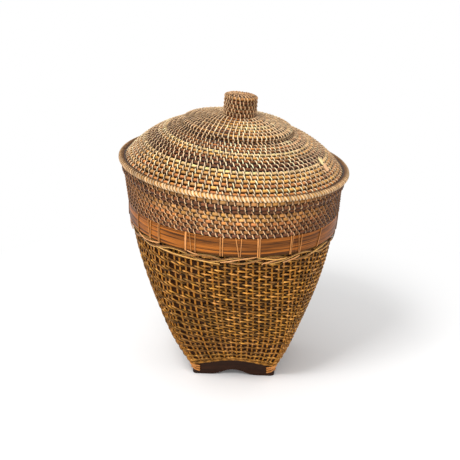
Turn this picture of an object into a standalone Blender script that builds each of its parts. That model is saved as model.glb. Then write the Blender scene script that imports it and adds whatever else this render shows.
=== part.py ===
"""Lidded storage basket: a coiled lid on a coiled neck, over a woven body on four foot boards.

Metres, +Z up. The origin is on the floor under the middle of the lid's hoop, and the front
faces -Y. The body is woven from a square foot to a round shoulder. Its mouth leans to the
right, as the hand-made one does, so all that is coiled round the mouth hangs on one leaning
empty, and the woven wall turns from level to leaning on its way up.
"""

import math

import bmesh
import bpy
from mathutils import Matrix, Vector

# Seats
FIT = 0.0003                     # gap between two pieces that touch
MERGE_DISTANCE = 0.00001         # points closer than this are one

# Foot of four boards, mitred at the corners, with an ogee arch cut in each
FOOT_HALF = 0.074                # middle of the foot to the face of a board
FOOT_CORNER = 0.006
FOOT_SHIFT = 0.0033              # its middle to the right of the mouth's
BOARD_THICKNESS = 0.009
BOARD_HEIGHT = 0.036
ARCH_SPAN = 0.082
ARCH_RISE = 0.0105
BOARD_STEPS = 11                 # from the middle of a board to its rounded end

# Woven floor, which lies on the boards inside the wall
FLOOR_THICKNESS = 0.004
FLOOR_CLEARANCE = 0.0006         # floor to the wall round it

# Woven wall, from the square foot to the round shoulder
WALL_THICKNESS = 0.0038
WALL_LOWER_EDGE = 0.021          # height of its edge at the corners of the foot
WALL_HEIGHT = 0.2866
WALL_FOOT_CORNER = 0.010
WALL_FULLNESS = 1.8              # 1 is a straight flare, more is a fuller belly
WALL_EDGE_RISE = 0.0105          # how far the lower edge arches up between corners
EDGE_FADE = 6                    # how fast that arch dies out up the wall
BOARD_CLEARANCE = 0.0004         # wall to board
ROUND_AT_SHARE = 0.95            # share of the height where the plan has become a circle
SIDE_SHARE = 0.8                 # share of a plan's steps that its straight sides take
WALL_STEPS_ROUND = 40            # a multiple of eight, so that each corner has a point
WALL_STEPS_UP = 10
STEP_CROWDING = 1.25             # how far its inner steps crowd towards the foot
RISE_HALVINGS = 30               # halvings by which a height on it is found
BUNDLE_COUNT = 19                # bundles of canes up the wall
BUNDLE_GROWTH = 0.5              # how much taller the top bundle is than the lowest
BUNDLE_SWELL = 0.0005            # how far a bundle stands out of the wall's face
BUNDLE_GROOVE = 0.0014           # how deep the groove between two bundles lies in it
EVEN_GROOVE = 0.0006             # the same where the canes lie evenly spread
BUNDLED_FROM = 0.46              # share of the way round where the bundles are close
BUNDLED_TO = 0.72

# Strips bound round each corner of the foot
CORNER_LASH_THICKNESS = 0.0022
CORNER_LASH_BOTTOM = 0.008
CORNER_LASH_RISE_SHARE = 0.03
CORNER_LASH_REACH = 0.013        # from the corner along each board

# Mouth: the hoop of the lid is the reference for all that is turned
HOOP_RADIUS = 0.1955
MOUTH_LEAN = math.radians(4.7)
SHOULDER_LEAN = math.radians(3.5)
COIL_THICKNESS = 0.0065
COIL_SWELL = 0.0009              # how far a row stands out between two grooves
ROW_STEPS = 3
UNDERSIDE_STEPS = 3
TURN_STEPS = 36
CROWN_STEPS = 32
KNOB_STEPS = 24

# Neck: the coiled wall between the wooden band and the lid
NECK_INSET = 0.0055              # top of the neck inside the hoop's middle
NECK_TAPER = 0.0051              # its foot inside its top
NECK_OFFSET = 0.0053             # its foot to the right of the mouth's axis
NECK_HEIGHT = 0.0504
NECK_ROW_COUNT = 7

# Collar inside the neck, which the lid slips over
COLLAR_THICKNESS = 0.0035
COLLAR_DEPTH = 0.024
COLLAR_STAND = 0.016

# Wooden bands, outside and inside the top of the woven wall
BAND_HEIGHT = 0.031
BAND_THICKNESS = 0.003
BAND_CLEARANCE = 0.001           # band to the woven wall inside it
BAND_SETBACK = 0.0007            # face of the band behind the lowest coil
BAND_TAPER = 0.001
BAND_JOINT_ANGLE = 38            # where the two ends of the band meet, from the front
BAND_JOINT_GAP = 0.0006
INNER_BAND_THICKNESS = 0.0025
INNER_BAND_HEIGHT = 0.024
INNER_BAND_CLEARANCE = 0.0006

# Split cane bound over the outer band: angle from the front, and its widths
LASH_THICKNESS = 0.0013
SINGLE = 0.0032
PAIR = 0.0062
SPLAY = 0.0105
BAND_LASHES = (
    (-57, SINGLE, SINGLE), (-45, SPLAY, SINGLE), (-38, PAIR, PAIR), (-20.7, PAIR, PAIR),
    (-17, SPLAY, PAIR), (-1.7, PAIR, PAIR), (7.2, SPLAY, SINGLE), (17.4, PAIR, PAIR),
    (35.6, PAIR, PAIR), (41, PAIR, SINGLE), (56, SINGLE, SINGLE), (80, PAIR, PAIR),
    (104, SPLAY, PAIR), (128, PAIR, SINGLE), (152, PAIR, PAIR), (176, SPLAY, SINGLE),
    (200, PAIR, PAIR), (224, SINGLE, SINGLE), (248, PAIR, PAIR), (272, SPLAY, PAIR),
)

# Two long strands that cross each other round the wall, under the band
STRAND_RADIUS = 0.0013
STRAND_WEAVE = 0.0017            # how far a strand swings in and out to pass the other
STRAND_SWING = 0.0042            # how far it swings up and down
STRAND_DROP = 0.0095             # middle of the crossings under the band
STRAND_CLEARANCE = 0.0009        # strands to the wall behind them
STRAND_CROSSINGS = 20
STRAND_ANGLE = -2                # one of the crossings, from the front
STRAND_STEPS = 4                 # points from one crossing to the next

# Lid
HOOP_TUBE = 0.0055
HOOP_SIDES = 8
SKIRT_HEIGHT = 0.0155
SKIRT_ROW_COUNT = 2
SKIRT_THICKNESS = 0.006
SKIRT_INSET = 0.002              # top of the skirt inside the hoop's middle
SKIRT_OVERHANG = 0.0035          # bottom of the skirt outside the neck
TIER_RISE = 0.0637
TIER_ROW_COUNT = 15
TIER_BULGE = 0.0109
TIER_GROOVE = 0.0021             # how deep the groove between two of its rows is
TIER_SEAT = 0.0062               # width of the tier's end on the skirt
CROWN_RADIUS = 0.0952
CROWN_SHIFT = 0.0004             # its middle to the right of the hoop's axis
CROWN_LEAN = math.radians(1.5)   # how much more than the hoop it leans to the right
CROWN_OVERHANG = 0.0045
CROWN_RISE = 0.0153
CROWN_BULGE = 0.0006
CROWN_ROW_COUNT = 7
KNOB_RADIUS = 0.0275
KNOB_HEIGHT = 0.0355
KNOB_SHIFT = 0.0019              # its middle to the right of the crown's
KNOB_LEAN = math.radians(3.2)    # how far its top leans to the back
KNOB_ROW_COUNT = 4
KNOB_SHOULDER = 0.005
CAP_THICKNESS = 0.0078
CAP_ROW_COUNT = 3

# Pale strip wound over two rows of the tier, where a cane was joined
SPLICE_LENGTH = 0.017
SPLICE_WIDTH = 0.0055
SPLICE_THICKNESS = 0.0012
SPLICE_SHARE = 0.72              # how far down the tier's slope it lies
SPLICE_ANGLE = 68                # from the front

# Colours (linear) and roughness
CANE_GOLD = (0.52, 0.33, 0.13)
CANE_PALE = (0.72, 0.54, 0.27)
CANE_BROWN = (0.33, 0.17, 0.055)
CANE_ORANGE = (0.56, 0.25, 0.08)
BAND_BROWN = (0.36, 0.15, 0.035)
BOARD_BROWN = (0.022, 0.009, 0.004)
CANE_ROUGHNESS = 0.55
BOARD_ROUGHNESS = 0.6

# Heights in the mouth's own frame, where the hoop's middle is zero
SKIRT_TOP = -HOOP_TUBE - FIT
SKIRT_BOTTOM = SKIRT_TOP - SKIRT_HEIGHT
NECK_TOP = SKIRT_BOTTOM - FIT
NECK_BOTTOM = NECK_TOP - NECK_HEIGHT
BAND_TOP = NECK_BOTTOM - FIT
BAND_BOTTOM = BAND_TOP - BAND_HEIGHT
CROWN_SEAT = TIER_RISE + FIT
CROWN_EDGE = CROWN_SEAT + COIL_THICKNESS
KNOB_SEAT = CROWN_EDGE + CROWN_RISE
KNOB_TOP = KNOB_SEAT + FIT + KNOB_HEIGHT
CAP_BOTTOM = KNOB_TOP - CAP_THICKNESS

# Radii that follow from what a piece fits
NECK_TOP_RADIUS = HOOP_RADIUS - NECK_INSET
NECK_BOTTOM_RADIUS = NECK_TOP_RADIUS - NECK_TAPER
SKIRT_TOP_RADIUS = HOOP_RADIUS - SKIRT_INSET
SKIRT_BOTTOM_RADIUS = NECK_TOP_RADIUS + SKIRT_OVERHANG
COLLAR_RADIUS = NECK_TOP_RADIUS - COIL_THICKNESS - FIT
BAND_RADIUS = NECK_BOTTOM_RADIUS - BAND_SETBACK
WALL_TOP_RADIUS = BAND_RADIUS - BAND_THICKNESS - BAND_CLEARANCE
WALL_FOOT_HALF = FOOT_HALF + BOARD_CLEARANCE + WALL_THICKNESS
TIER_TOP_RADIUS = CROWN_RADIUS - CROWN_OVERHANG
TIER_END_RADIUS = HOOP_RADIUS - HOOP_TUBE - FIT
KNOB_BORE = KNOB_RADIUS - COIL_THICKNESS

# The mouth stands over the foot at the height that the pieces under it add up to
MOUTH_HEIGHT = WALL_LOWER_EDGE + WALL_HEIGHT - BAND_TOP
MOUTH = Matrix.Translation((0, 0, MOUTH_HEIGHT)) @ Matrix.Rotation(MOUTH_LEAN, 4, "Y")
SHOULDER = (MOUTH @ Matrix.Translation((NECK_OFFSET, 0, NECK_BOTTOM))
            @ Matrix.Rotation(SHOULDER_LEAN - MOUTH_LEAN, 4, "Y")
            @ Matrix.Translation((0, 0, -NECK_BOTTOM)))


def clear_scene():
    for thing in list(bpy.data.objects):
        bpy.data.objects.remove(thing, do_unlink=True)


def finish(thing, colour, roughness):
    """Give an object its own material."""
    material = bpy.data.materials.new(thing.name + "_finish")
    material.use_nodes = True
    shader = material.node_tree.nodes["Principled BSDF"]
    shader.inputs["Base Color"].default_value = (*colour, 1)
    shader.inputs["Roughness"].default_value = roughness
    shader.inputs["Metallic"].default_value = 0
    thing.data.materials.append(material)


def new_object(name, data, parent=None):
    thing = bpy.data.objects.new(name, data)
    bpy.context.scene.collection.objects.link(thing)
    thing.parent = parent
    return thing


def mesh_from(bm, name, sharp_angle=40):
    """Turn a bmesh into a mesh whose faces point out, smooth but for its sharp edges."""
    bmesh.ops.remove_doubles(bm, verts=bm.verts, dist=MERGE_DISTANCE)
    bmesh.ops.recalc_face_normals(bm, faces=bm.faces)
    mesh = bpy.data.meshes.new(name)
    bm.to_mesh(mesh)
    bm.free()
    mesh.shade_smooth()
    mesh.set_sharp_from_angle(angle=math.radians(sharp_angle))
    return mesh


def turned(name, outline, steps, sweep=math.tau, start=0.0):
    """Solid turned about Z from an outline of (radius, height) points.

    An outline that starts on the axis also ends there. A sweep of less than a full turn
    leaves a slit, whose two sides are closed.
    """
    bm = bmesh.new()
    turn = Matrix.Rotation(start, 3, "Z")
    points = [bm.verts.new(turn @ Vector((radius, 0, height))) for radius, height in outline]
    edges = [bm.edges.new(pair) for pair in zip(points, points[1:])]
    if outline[0][0] > 0:
        edges.append(bm.edges.new((points[-1], points[0])))
    whole = sweep == math.tau
    spun = bmesh.ops.spin(bm, geom=points + edges, cent=(0, 0, 0), axis=(0, 0, 1),
                          angle=sweep, steps=steps, use_merge=whole)
    if not whole:
        last = [item for item in spun["geom_last"] if isinstance(item, bmesh.types.BMEdge)]
        bmesh.ops.contextual_create(bm, geom=edges)
        bmesh.ops.contextual_create(bm, geom=last)
    return mesh_from(bm, name)


def lofted(name, sections, ring=False):
    """Solid through a row of sections with the same number of points each."""
    bm = bmesh.new()
    rows = [[bm.verts.new(point) for point in section] for section in sections]
    pairs = list(zip(rows, rows[1:]))
    if ring:
        pairs.append((rows[-1], rows[0]))
    for low, high in pairs:
        for place in range(len(low)):
            after = (place + 1) % len(low)
            bm.faces.new((low[place], low[after], high[after], high[place]))
    if not ring:
        bm.faces.new(rows[0])
        bm.faces.new(rows[-1])
    return mesh_from(bm, name)


def arched(start, end, bulge, share):
    """Point, and its outward direction, a share of the way down a line that arches outwards."""
    start = Vector(start)
    along = Vector(end) - start
    outward = Vector((-along.y, along.x)).normalized()
    point = start + along * share + outward * 4 * bulge * share * (1 - share)
    tangent = along + outward * 4 * bulge * (1 - 2 * share)
    return point, Vector((-tangent.y, tangent.x)).normalized()


def coil_line(start, end, rows, bulge=0.0, groove=COIL_SWELL):
    """Outline of coil rows laid from start down to end, each swelling between two grooves."""
    points = []
    steps = rows * ROW_STEPS
    for step in range(steps + 1):
        point, outward = arched(start, end, bulge, step / steps)
        swell = COIL_SWELL - groove * (1 - math.sin(math.pi * (step % ROW_STEPS) / ROW_STEPS))
        if step in (0, steps):
            swell = 0
        points.append(tuple(point + outward * swell))
    return points


def plain_line(start, end, bulge, steps):
    """The smooth underside of a coil, from start down to end."""
    return [tuple(arched(start, end, bulge, step / steps)[0]) for step in range(steps + 1)]


def smooth_share(share):
    """Ease a share from 0 to 1, level at both ends."""
    share = min(max(share, 0), 1)
    return share * share * (3 - 2 * share)


def side_place(share):
    """Where a share of the way round lies on its side: 0 is the side's middle, 1 its corner."""
    return (share * 4 - round(share * 4)) * 2


def bell(place):
    """Height of an ogee arch, from 1 in its middle to 0 at its ends."""
    return (1 + math.cos(math.pi * place)) / 2 if abs(place) < 1 else 0


def square_plan(share, half, corner):
    """Point of a square with rounded corners, a share of the way round from its right side."""
    place = side_place(share)
    run = abs(place)
    if run < SIDE_SHARE:
        point = Vector((half, (half - corner) * run / SIDE_SHARE))
    else:
        angle = math.radians(45) * (run - SIDE_SHARE) / (1 - SIDE_SHARE)
        centre = Vector((half - corner, half - corner))
        point = centre + corner * Vector((math.cos(angle), math.sin(angle)))
    point.y = math.copysign(point.y, place)
    return Matrix.Rotation(math.radians(90) * round(share * 4), 2) @ point


def wall_centre(rise):
    """Middle of the woven wall, from upright over the foot to square with the mouth."""
    foot = Vector((FOOT_SHIFT, 0, WALL_LOWER_EDGE))
    top = SHOULDER @ Vector((0, 0, BAND_TOP))
    length = (top - foot).length
    leaving = Vector((0, 0, length))
    arriving = SHOULDER.to_3x3() @ Vector((0, 0, length))
    square = rise * rise
    cube = square * rise
    return ((2 * cube - 3 * square + 1) * foot + (cube - 2 * square + rise) * leaving
            + (3 * square - 2 * cube) * top + (cube - square) * arriving)


def wall_place(share, rise, depth=0.0):
    """Point of the woven wall.

    share goes round it from its right side, rise goes up it from 0 to 1, and depth is how
    far the point lies inside its outer face.
    """
    flare = 1 - (1 - rise) ** WALL_FULLNESS
    half = WALL_FOOT_HALF + (WALL_TOP_RADIUS - WALL_FOOT_HALF) * flare - depth
    square = square_plan(share, half, WALL_FOOT_CORNER - depth)
    angle = math.tau * share
    circle = half * Vector((math.cos(angle), math.sin(angle)))
    plan = square.lerp(circle, 1 - (1 - min(rise / ROUND_AT_SHARE, 1)) ** 2)
    arch = WALL_EDGE_RISE * bell(side_place(share)) * (1 - rise) ** EDGE_FADE
    lean = Matrix.Rotation(SHOULDER_LEAN * smooth_share(rise), 3, "Y")
    return wall_centre(rise) + lean @ Vector((plan.x, plan.y, arch))


def make_foot():
    """Four boards, the same board turned to each side of the foot."""
    inner = FOOT_HALF - BOARD_THICKNESS
    end = square_plan(1 / 8, FOOT_HALF, FOOT_CORNER).y
    pull_back = 1 - FIT / FOOT_HALF
    straight = [SIDE_SHARE * step / BOARD_STEPS for step in range(-BOARD_STEPS, BOARD_STEPS + 1)]
    sections = []
    for place in [-1] + straight + [1]:
        outer = square_plan(place / 8, FOOT_HALF, FOOT_CORNER)
        if abs(place) == 1:
            outer = Vector((end, math.copysign(end, place)))
        arch = ARCH_RISE * bell(outer.y / (ARCH_SPAN / 2))
        across = outer.y * pull_back
        inside = across * inner / end
        sections.append(((outer.x, across, arch), (outer.x, across, BOARD_HEIGHT),
                         (inner, inside, BOARD_HEIGHT), (inner, inside, arch)))
    mesh = lofted("base_board", sections)
    for quarter, side in enumerate(("right", "back", "left", "front")):
        board = new_object("base_board_" + side, mesh.copy())
        board.rotation_euler.z = math.radians(90) * quarter
        board.location.x = FOOT_SHIFT
        finish(board, BOARD_BROWN, BOARD_ROUGHNESS)


def wall_rise(share, height):
    """How far up the woven wall a height above the floor lies, at a share of the way round."""
    low = 0.0
    high = 1.0
    for _ in range(RISE_HALVINGS):
        middle = (low + high) / 2
        if wall_place(share, middle).z < height:
            low = middle
        else:
            high = middle
    return low


def make_floor():
    """Woven floor, laid on the boards and fitted to the inside of the wall."""
    bottom = BOARD_HEIGHT + FIT
    depth = WALL_THICKNESS + FLOOR_CLEARANCE
    sections = []
    for height in (bottom, bottom + FLOOR_THICKNESS):
        ring = []
        for step in range(WALL_STEPS_ROUND):
            share = step / WALL_STEPS_ROUND
            edge = wall_place(share, wall_rise(share, height), depth)
            ring.append((edge.x, edge.y, height))
        sections.append(ring)
    finish(new_object("woven_floor", lofted("woven_floor", sections)), CANE_BROWN, CANE_ROUGHNESS)


def bundle_line():
    """Rise and groove of each point up the wall's face: 0 on a bundle, 1 between two."""
    line = []
    for step in range(2 * BUNDLE_COUNT + 1):
        share = step / (2 * BUNDLE_COUNT)
        groove = 1 - step % 2 if 0 < share < 1 else 0
        rise = ((1 + BUNDLE_GROWTH) ** share - 1) / BUNDLE_GROWTH
        line.append((min(rise, 1), groove))
    return line


def make_wall():
    """Woven wall, a shell of cane bundles from the square foot to the round shoulder."""
    rises = [(step / WALL_STEPS_UP) ** STEP_CROWDING for step in range(WALL_STEPS_UP + 1)]
    sections = []
    for step in range(WALL_STEPS_ROUND):
        share = step / WALL_STEPS_ROUND
        deep = BUNDLE_GROOVE if BUNDLED_FROM < share < BUNDLED_TO else EVEN_GROOVE
        outside = []
        for rise, groove in bundle_line():
            free = 2 * CORNER_LASH_RISE_SHARE < rise < 1 - BAND_HEIGHT / WALL_HEIGHT
            swell = BUNDLE_SWELL if free else 0
            outside.append(wall_place(share, rise, groove * deep - (1 - groove) * swell))
        inside = [wall_place(share, rise, WALL_THICKNESS) for rise in reversed(rises)]
        sections.append(outside + inside)
    wall = new_object("woven_wall", lofted("woven_wall", sections, ring=True))
    finish(wall, CANE_BROWN, CANE_ROUGHNESS)


def corner_section(share):
    """Section of the strips bound over the wall's edge and down the board at a corner."""
    edge = wall_place(share, 0).z - FIT
    near = FIT
    far = FIT + CORNER_LASH_THICKNESS
    board_near = square_plan(share, FOOT_HALF + near, FOOT_CORNER + near)
    board_far = square_plan(share, FOOT_HALF + far, FOOT_CORNER + far)
    under = wall_place(share, 0, -near)
    outer = wall_place(share, 0, -far)
    return [(FOOT_SHIFT + board_near.x, board_near.y, CORNER_LASH_BOTTOM),
            (FOOT_SHIFT + board_near.x, board_near.y, edge),
            (under.x, under.y, edge),
            wall_place(share, CORNER_LASH_RISE_SHARE, -near),
            wall_place(share, CORNER_LASH_RISE_SHARE, -far),
            (outer.x, outer.y, edge),
            (FOOT_SHIFT + board_far.x, board_far.y, CORNER_LASH_BOTTOM)]


def make_corner_lashes():
    """Strips at the four corners, each set against the wall and the boards that it binds."""
    straight = FOOT_HALF - FOOT_CORNER
    start = SIDE_SHARE * (FOOT_HALF - CORNER_LASH_REACH) / straight / 8
    arc = SIDE_SHARE / 8
    corner = 1 / 8
    names = ("back_right", "back_left", "front_left", "front_right")
    for quarter, name in enumerate(names):
        turn = quarter / 4
        shares = (start, arc, corner, 2 * corner - arc, 2 * corner - start)
        sections = [corner_section(turn + share) for share in shares]
        lash = new_object("corner_lashing_" + name, lofted("corner_lashing", sections))
        finish(lash, CANE_ORANGE, CANE_ROUGHNESS)


def slid(mesh, level, far, shift=0.0, tilt=0.0, back=0.0):
    """Slide the rows of a turned mesh to the right, and tilt them to the right and to the back.

    The rows at level stay as they are, and those at far are moved by all of it.
    """
    for point in mesh.vertices:
        share = min(max((point.co.z - level) / (far - level), 0), 1)
        point.co.z -= (point.co.x * math.tan(tilt) + point.co.y * math.tan(back)) * share
        point.co.x += shift * share
    return mesh


def leaned(mesh, angle):
    """Tilt all the rows of a turned mesh to the right."""
    for point in mesh.vertices:
        point.co.z -= point.co.x * math.tan(angle)
    return mesh


def make_neck(mouth):
    """Coiled wall between band and lid, and the collar inside it that the lid slips over.

    The neck's foot is neither right under its top nor level with it.
    """
    outside = coil_line((NECK_TOP_RADIUS, NECK_TOP), (NECK_BOTTOM_RADIUS, NECK_BOTTOM), NECK_ROW_COUNT)
    inside = [(NECK_BOTTOM_RADIUS - COIL_THICKNESS, NECK_BOTTOM),
              (NECK_TOP_RADIUS - COIL_THICKNESS, NECK_TOP)]
    slide = (NECK_TOP, NECK_BOTTOM, NECK_OFFSET, SHOULDER_LEAN - MOUTH_LEAN)
    mesh = slid(turned("coiled_neck", outside + inside, TURN_STEPS), *slide)
    neck = new_object("coiled_neck", mesh, mouth)
    finish(neck, CANE_BROWN, CANE_ROUGHNESS)

    low_radius = COLLAR_RADIUS - NECK_TAPER * COLLAR_DEPTH / NECK_HEIGHT
    low = NECK_TOP - COLLAR_DEPTH
    high = NECK_TOP + COLLAR_STAND
    outline = [(COLLAR_RADIUS, high), (COLLAR_RADIUS, NECK_TOP), (low_radius, low),
               (low_radius - COLLAR_THICKNESS, low), (COLLAR_RADIUS - COLLAR_THICKNESS, high)]
    mesh = slid(turned("mouth_collar", outline, TURN_STEPS), *slide)
    collar = new_object("mouth_collar", mesh, mouth)
    finish(collar, CANE_GOLD, CANE_ROUGHNESS)


def make_bands(shoulder):
    """Wooden band round the shoulder, its two ends butted, and the thinner band inside."""
    inner = BAND_RADIUS - BAND_THICKNESS
    outline = [(BAND_RADIUS, BAND_TOP), (BAND_RADIUS - BAND_TAPER, BAND_BOTTOM),
               (inner - BAND_TAPER, BAND_BOTTOM), (inner, BAND_TOP)]
    slit = BAND_JOINT_GAP / BAND_RADIUS
    start = math.radians(BAND_JOINT_ANGLE - 90) + slit / 2
    mesh = turned("shoulder_band", outline, TURN_STEPS, math.tau - slit, start)
    finish(new_object("shoulder_band", mesh, shoulder), BAND_BROWN, CANE_ROUGHNESS)

    near = WALL_THICKNESS + INNER_BAND_CLEARANCE
    far = near + INNER_BAND_THICKNESS
    low = 1 - INNER_BAND_HEIGHT / WALL_HEIGHT
    sections = []
    for step in range(WALL_STEPS_ROUND):
        share = step / WALL_STEPS_ROUND
        sections.append([wall_place(share, rise, depth)
                         for rise, depth in ((1, near), (low, near), (low, far), (1, far))])
    band = new_object("inner_band", lofted("inner_band", sections, ring=True))
    finish(band, BAND_BROWN, CANE_ROUGHNESS)


def make_band_lashes(shoulder):
    """Split cane over the band, hooked under its lower edge."""
    inner = BAND_RADIUS - BAND_THICKNESS - BAND_TAPER
    low_face = BAND_RADIUS - BAND_TAPER + FIT
    outline = [(BAND_RADIUS + FIT, BAND_TOP),
               (BAND_RADIUS + FIT + LASH_THICKNESS, BAND_TOP - LASH_THICKNESS),
               (low_face + LASH_THICKNESS, BAND_BOTTOM),
               (low_face, BAND_BOTTOM - FIT - LASH_THICKNESS),
               (inner, BAND_BOTTOM - FIT - LASH_THICKNESS),
               (inner, BAND_BOTTOM - FIT),
               (low_face, BAND_BOTTOM - FIT)]
    for number, (angle, top_width, bottom_width) in enumerate(BAND_LASHES, 1):
        sections = []
        for side in (-0.5, 0.5):
            section = []
            for radius, height in outline:
                share = max(0, (height - BAND_BOTTOM) / BAND_HEIGHT)
                width = bottom_width + (top_width - bottom_width) * share
                section.append((radius, side * width, height))
            sections.append(section)
        lash = new_object(f"band_lashing_{number:02d}", lofted("band_lashing", sections), shoulder)
        lash.rotation_euler.z = math.radians(angle - 90)
        finish(lash, CANE_ORANGE, CANE_ROUGHNESS)


def make_crossed_strands():
    """Two strands laid round the wall under the band, over and under each other in turn."""
    band_share = BAND_HEIGHT / WALL_HEIGHT
    middle = 1 - band_share - STRAND_DROP / WALL_HEIGHT
    swing = STRAND_SWING / WALL_HEIGHT
    stand_off = STRAND_CLEARANCE + STRAND_RADIUS + STRAND_WEAVE
    count = STRAND_CROSSINGS * STRAND_STEPS
    for number, sign in enumerate((1, -1), 1):
        curve = bpy.data.curves.new(f"crossed_strand_{number}", "CURVE")
        curve.dimensions = "3D"
        curve.bevel_depth = STRAND_RADIUS
        curve.bevel_resolution = 1
        line = curve.splines.new("POLY")
        line.points.add(count - 1)
        line.use_cyclic_u = True
        for step in range(count):
            phase = math.pi * step / STRAND_STEPS
            rise = middle + sign * swing * math.sin(phase)
            out = stand_off + sign * STRAND_WEAVE * math.cos(phase)
            share = step / count + STRAND_ANGLE / 360
            line.points[step].co = (*wall_place(share, rise, -out), 1)
        strand = new_object(f"crossed_strand_{number}", curve)
        finish(strand, CANE_ORANGE, CANE_ROUGHNESS)


def make_lid_rim(lid):
    """Hoop round the lid and the two coil rows that hang under it."""
    angles = [math.tau * (step + 0.5) / HOOP_SIDES for step in range(HOOP_SIDES)]
    reach = HOOP_TUBE / math.cos(math.pi / HOOP_SIDES)
    outline = [(HOOP_RADIUS + reach * math.cos(angle), reach * math.sin(angle))
               for angle in angles]
    hoop = new_object("lid_rim_hoop", turned("lid_rim_hoop", outline, TURN_STEPS), lid)
    finish(hoop, CANE_PALE, CANE_ROUGHNESS)

    outside = coil_line((SKIRT_TOP_RADIUS, SKIRT_TOP), (SKIRT_BOTTOM_RADIUS, SKIRT_BOTTOM),
                        SKIRT_ROW_COUNT)
    inside = [(SKIRT_BOTTOM_RADIUS - SKIRT_THICKNESS, SKIRT_BOTTOM),
              (SKIRT_TOP_RADIUS - SKIRT_THICKNESS, SKIRT_TOP)]
    skirt = new_object("lid_skirt", turned("lid_skirt", outside + inside, TURN_STEPS), lid)
    finish(skirt, CANE_BROWN, CANE_ROUGHNESS)


def tier_ends():
    """Top and bottom of the tier's outer face."""
    end_top = SKIRT_TOP + FIT + SKIRT_THICKNESS - COIL_SWELL
    return (TIER_TOP_RADIUS, TIER_RISE), (TIER_END_RADIUS, end_top)


def make_lid_tier(lid):
    """Wide lower tier of the lid, from under the crown out to the hoop."""
    top, end = tier_ends()
    under_end = SKIRT_TOP + FIT
    slope = (top[1] - end[1]) / (end[0] - top[0])
    bore = TIER_TOP_RADIUS - COIL_THICKNESS
    depth = COIL_THICKNESS * math.hypot(1, slope)
    under_top = TIER_RISE + slope * COIL_THICKNESS - depth
    outside = coil_line(top, end, TIER_ROW_COUNT, TIER_BULGE, TIER_GROOVE)
    inside = plain_line((bore, under_top), (TIER_END_RADIUS - TIER_SEAT, under_end),
                        TIER_BULGE, UNDERSIDE_STEPS)
    outline = outside + [(TIER_END_RADIUS, under_end)] + inside[::-1] + [(bore, TIER_RISE)]
    mesh = slid(turned("lid_tier", outline, TURN_STEPS), end[1], TIER_RISE, CROWN_SHIFT, CROWN_LEAN)
    tier = new_object("lid_tier", mesh, lid)
    finish(tier, CANE_GOLD, CANE_ROUGHNESS)


def make_crown(lid):
    """Upper tier, whose edge steps out over the lower one."""
    slope = CROWN_RISE / (CROWN_RADIUS - KNOB_RADIUS)
    depth = COIL_THICKNESS * math.hypot(1, slope)
    seat_bore = TIER_TOP_RADIUS - COIL_THICKNESS
    outside = coil_line((KNOB_RADIUS, KNOB_SEAT), (CROWN_RADIUS, CROWN_EDGE),
                        CROWN_ROW_COUNT, CROWN_BULGE)
    middle_edge = (CROWN_EDGE + CROWN_SEAT) / 2
    edge = [(CROWN_RADIUS + COIL_SWELL, middle_edge), (CROWN_RADIUS - COIL_SWELL, CROWN_SEAT)]
    inside = plain_line((KNOB_BORE, KNOB_SEAT - depth), (seat_bore, CROWN_SEAT), CROWN_BULGE,
                        UNDERSIDE_STEPS)
    outline = outside + edge + inside[::-1] + [(KNOB_BORE, KNOB_SEAT)]
    mesh = slid(turned("lid_crown", outline, CROWN_STEPS), CROWN_EDGE, KNOB_SEAT, KNOB_SHIFT)
    crown = new_object("lid_crown", leaned(mesh, CROWN_LEAN), lid)
    crown.location.x = CROWN_SHIFT
    finish(crown, CANE_GOLD, CANE_ROUGHNESS)


def make_knob(lid):
    """Hollow coiled knob and the round-shouldered cap that closes it."""
    wall_top = CAP_BOTTOM - FIT
    wall_bottom = KNOB_SEAT + FIT
    outside = coil_line((KNOB_RADIUS, wall_top), (KNOB_RADIUS, wall_bottom), KNOB_ROW_COUNT)
    inside = [(KNOB_BORE, wall_bottom), (KNOB_BORE, wall_top)]
    mesh = slid(turned("knob_wall", outside + inside, KNOB_STEPS), wall_bottom, KNOB_TOP, back=KNOB_LEAN)
    wall = new_object("knob_wall", leaned(mesh, CROWN_LEAN), lid)
    wall.location = (CROWN_SHIFT + KNOB_SHIFT, 0, -KNOB_SHIFT * math.tan(CROWN_LEAN))
    finish(wall, CANE_BROWN, CANE_ROUGHNESS)

    flat = coil_line((0, KNOB_TOP - COIL_SWELL),
                     (KNOB_RADIUS - KNOB_SHOULDER, KNOB_TOP - COIL_SWELL), CAP_ROW_COUNT)
    shoulder = []
    for degrees in (60, 30, 0):
        angle = math.radians(degrees)
        shoulder.append((KNOB_RADIUS - KNOB_SHOULDER + KNOB_SHOULDER * math.cos(angle),
                         KNOB_TOP - KNOB_SHOULDER + KNOB_SHOULDER * math.sin(angle)))
    outline = flat + shoulder + [(KNOB_RADIUS, CAP_BOTTOM), (0, CAP_BOTTOM)]
    mesh = slid(turned("knob_cap", outline, KNOB_STEPS), wall_bottom, KNOB_TOP, back=KNOB_LEAN)
    cap = new_object("knob_cap", leaned(mesh, CROWN_LEAN), lid)
    cap.location = wall.location
    finish(cap, CANE_GOLD, CANE_ROUGHNESS)


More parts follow.
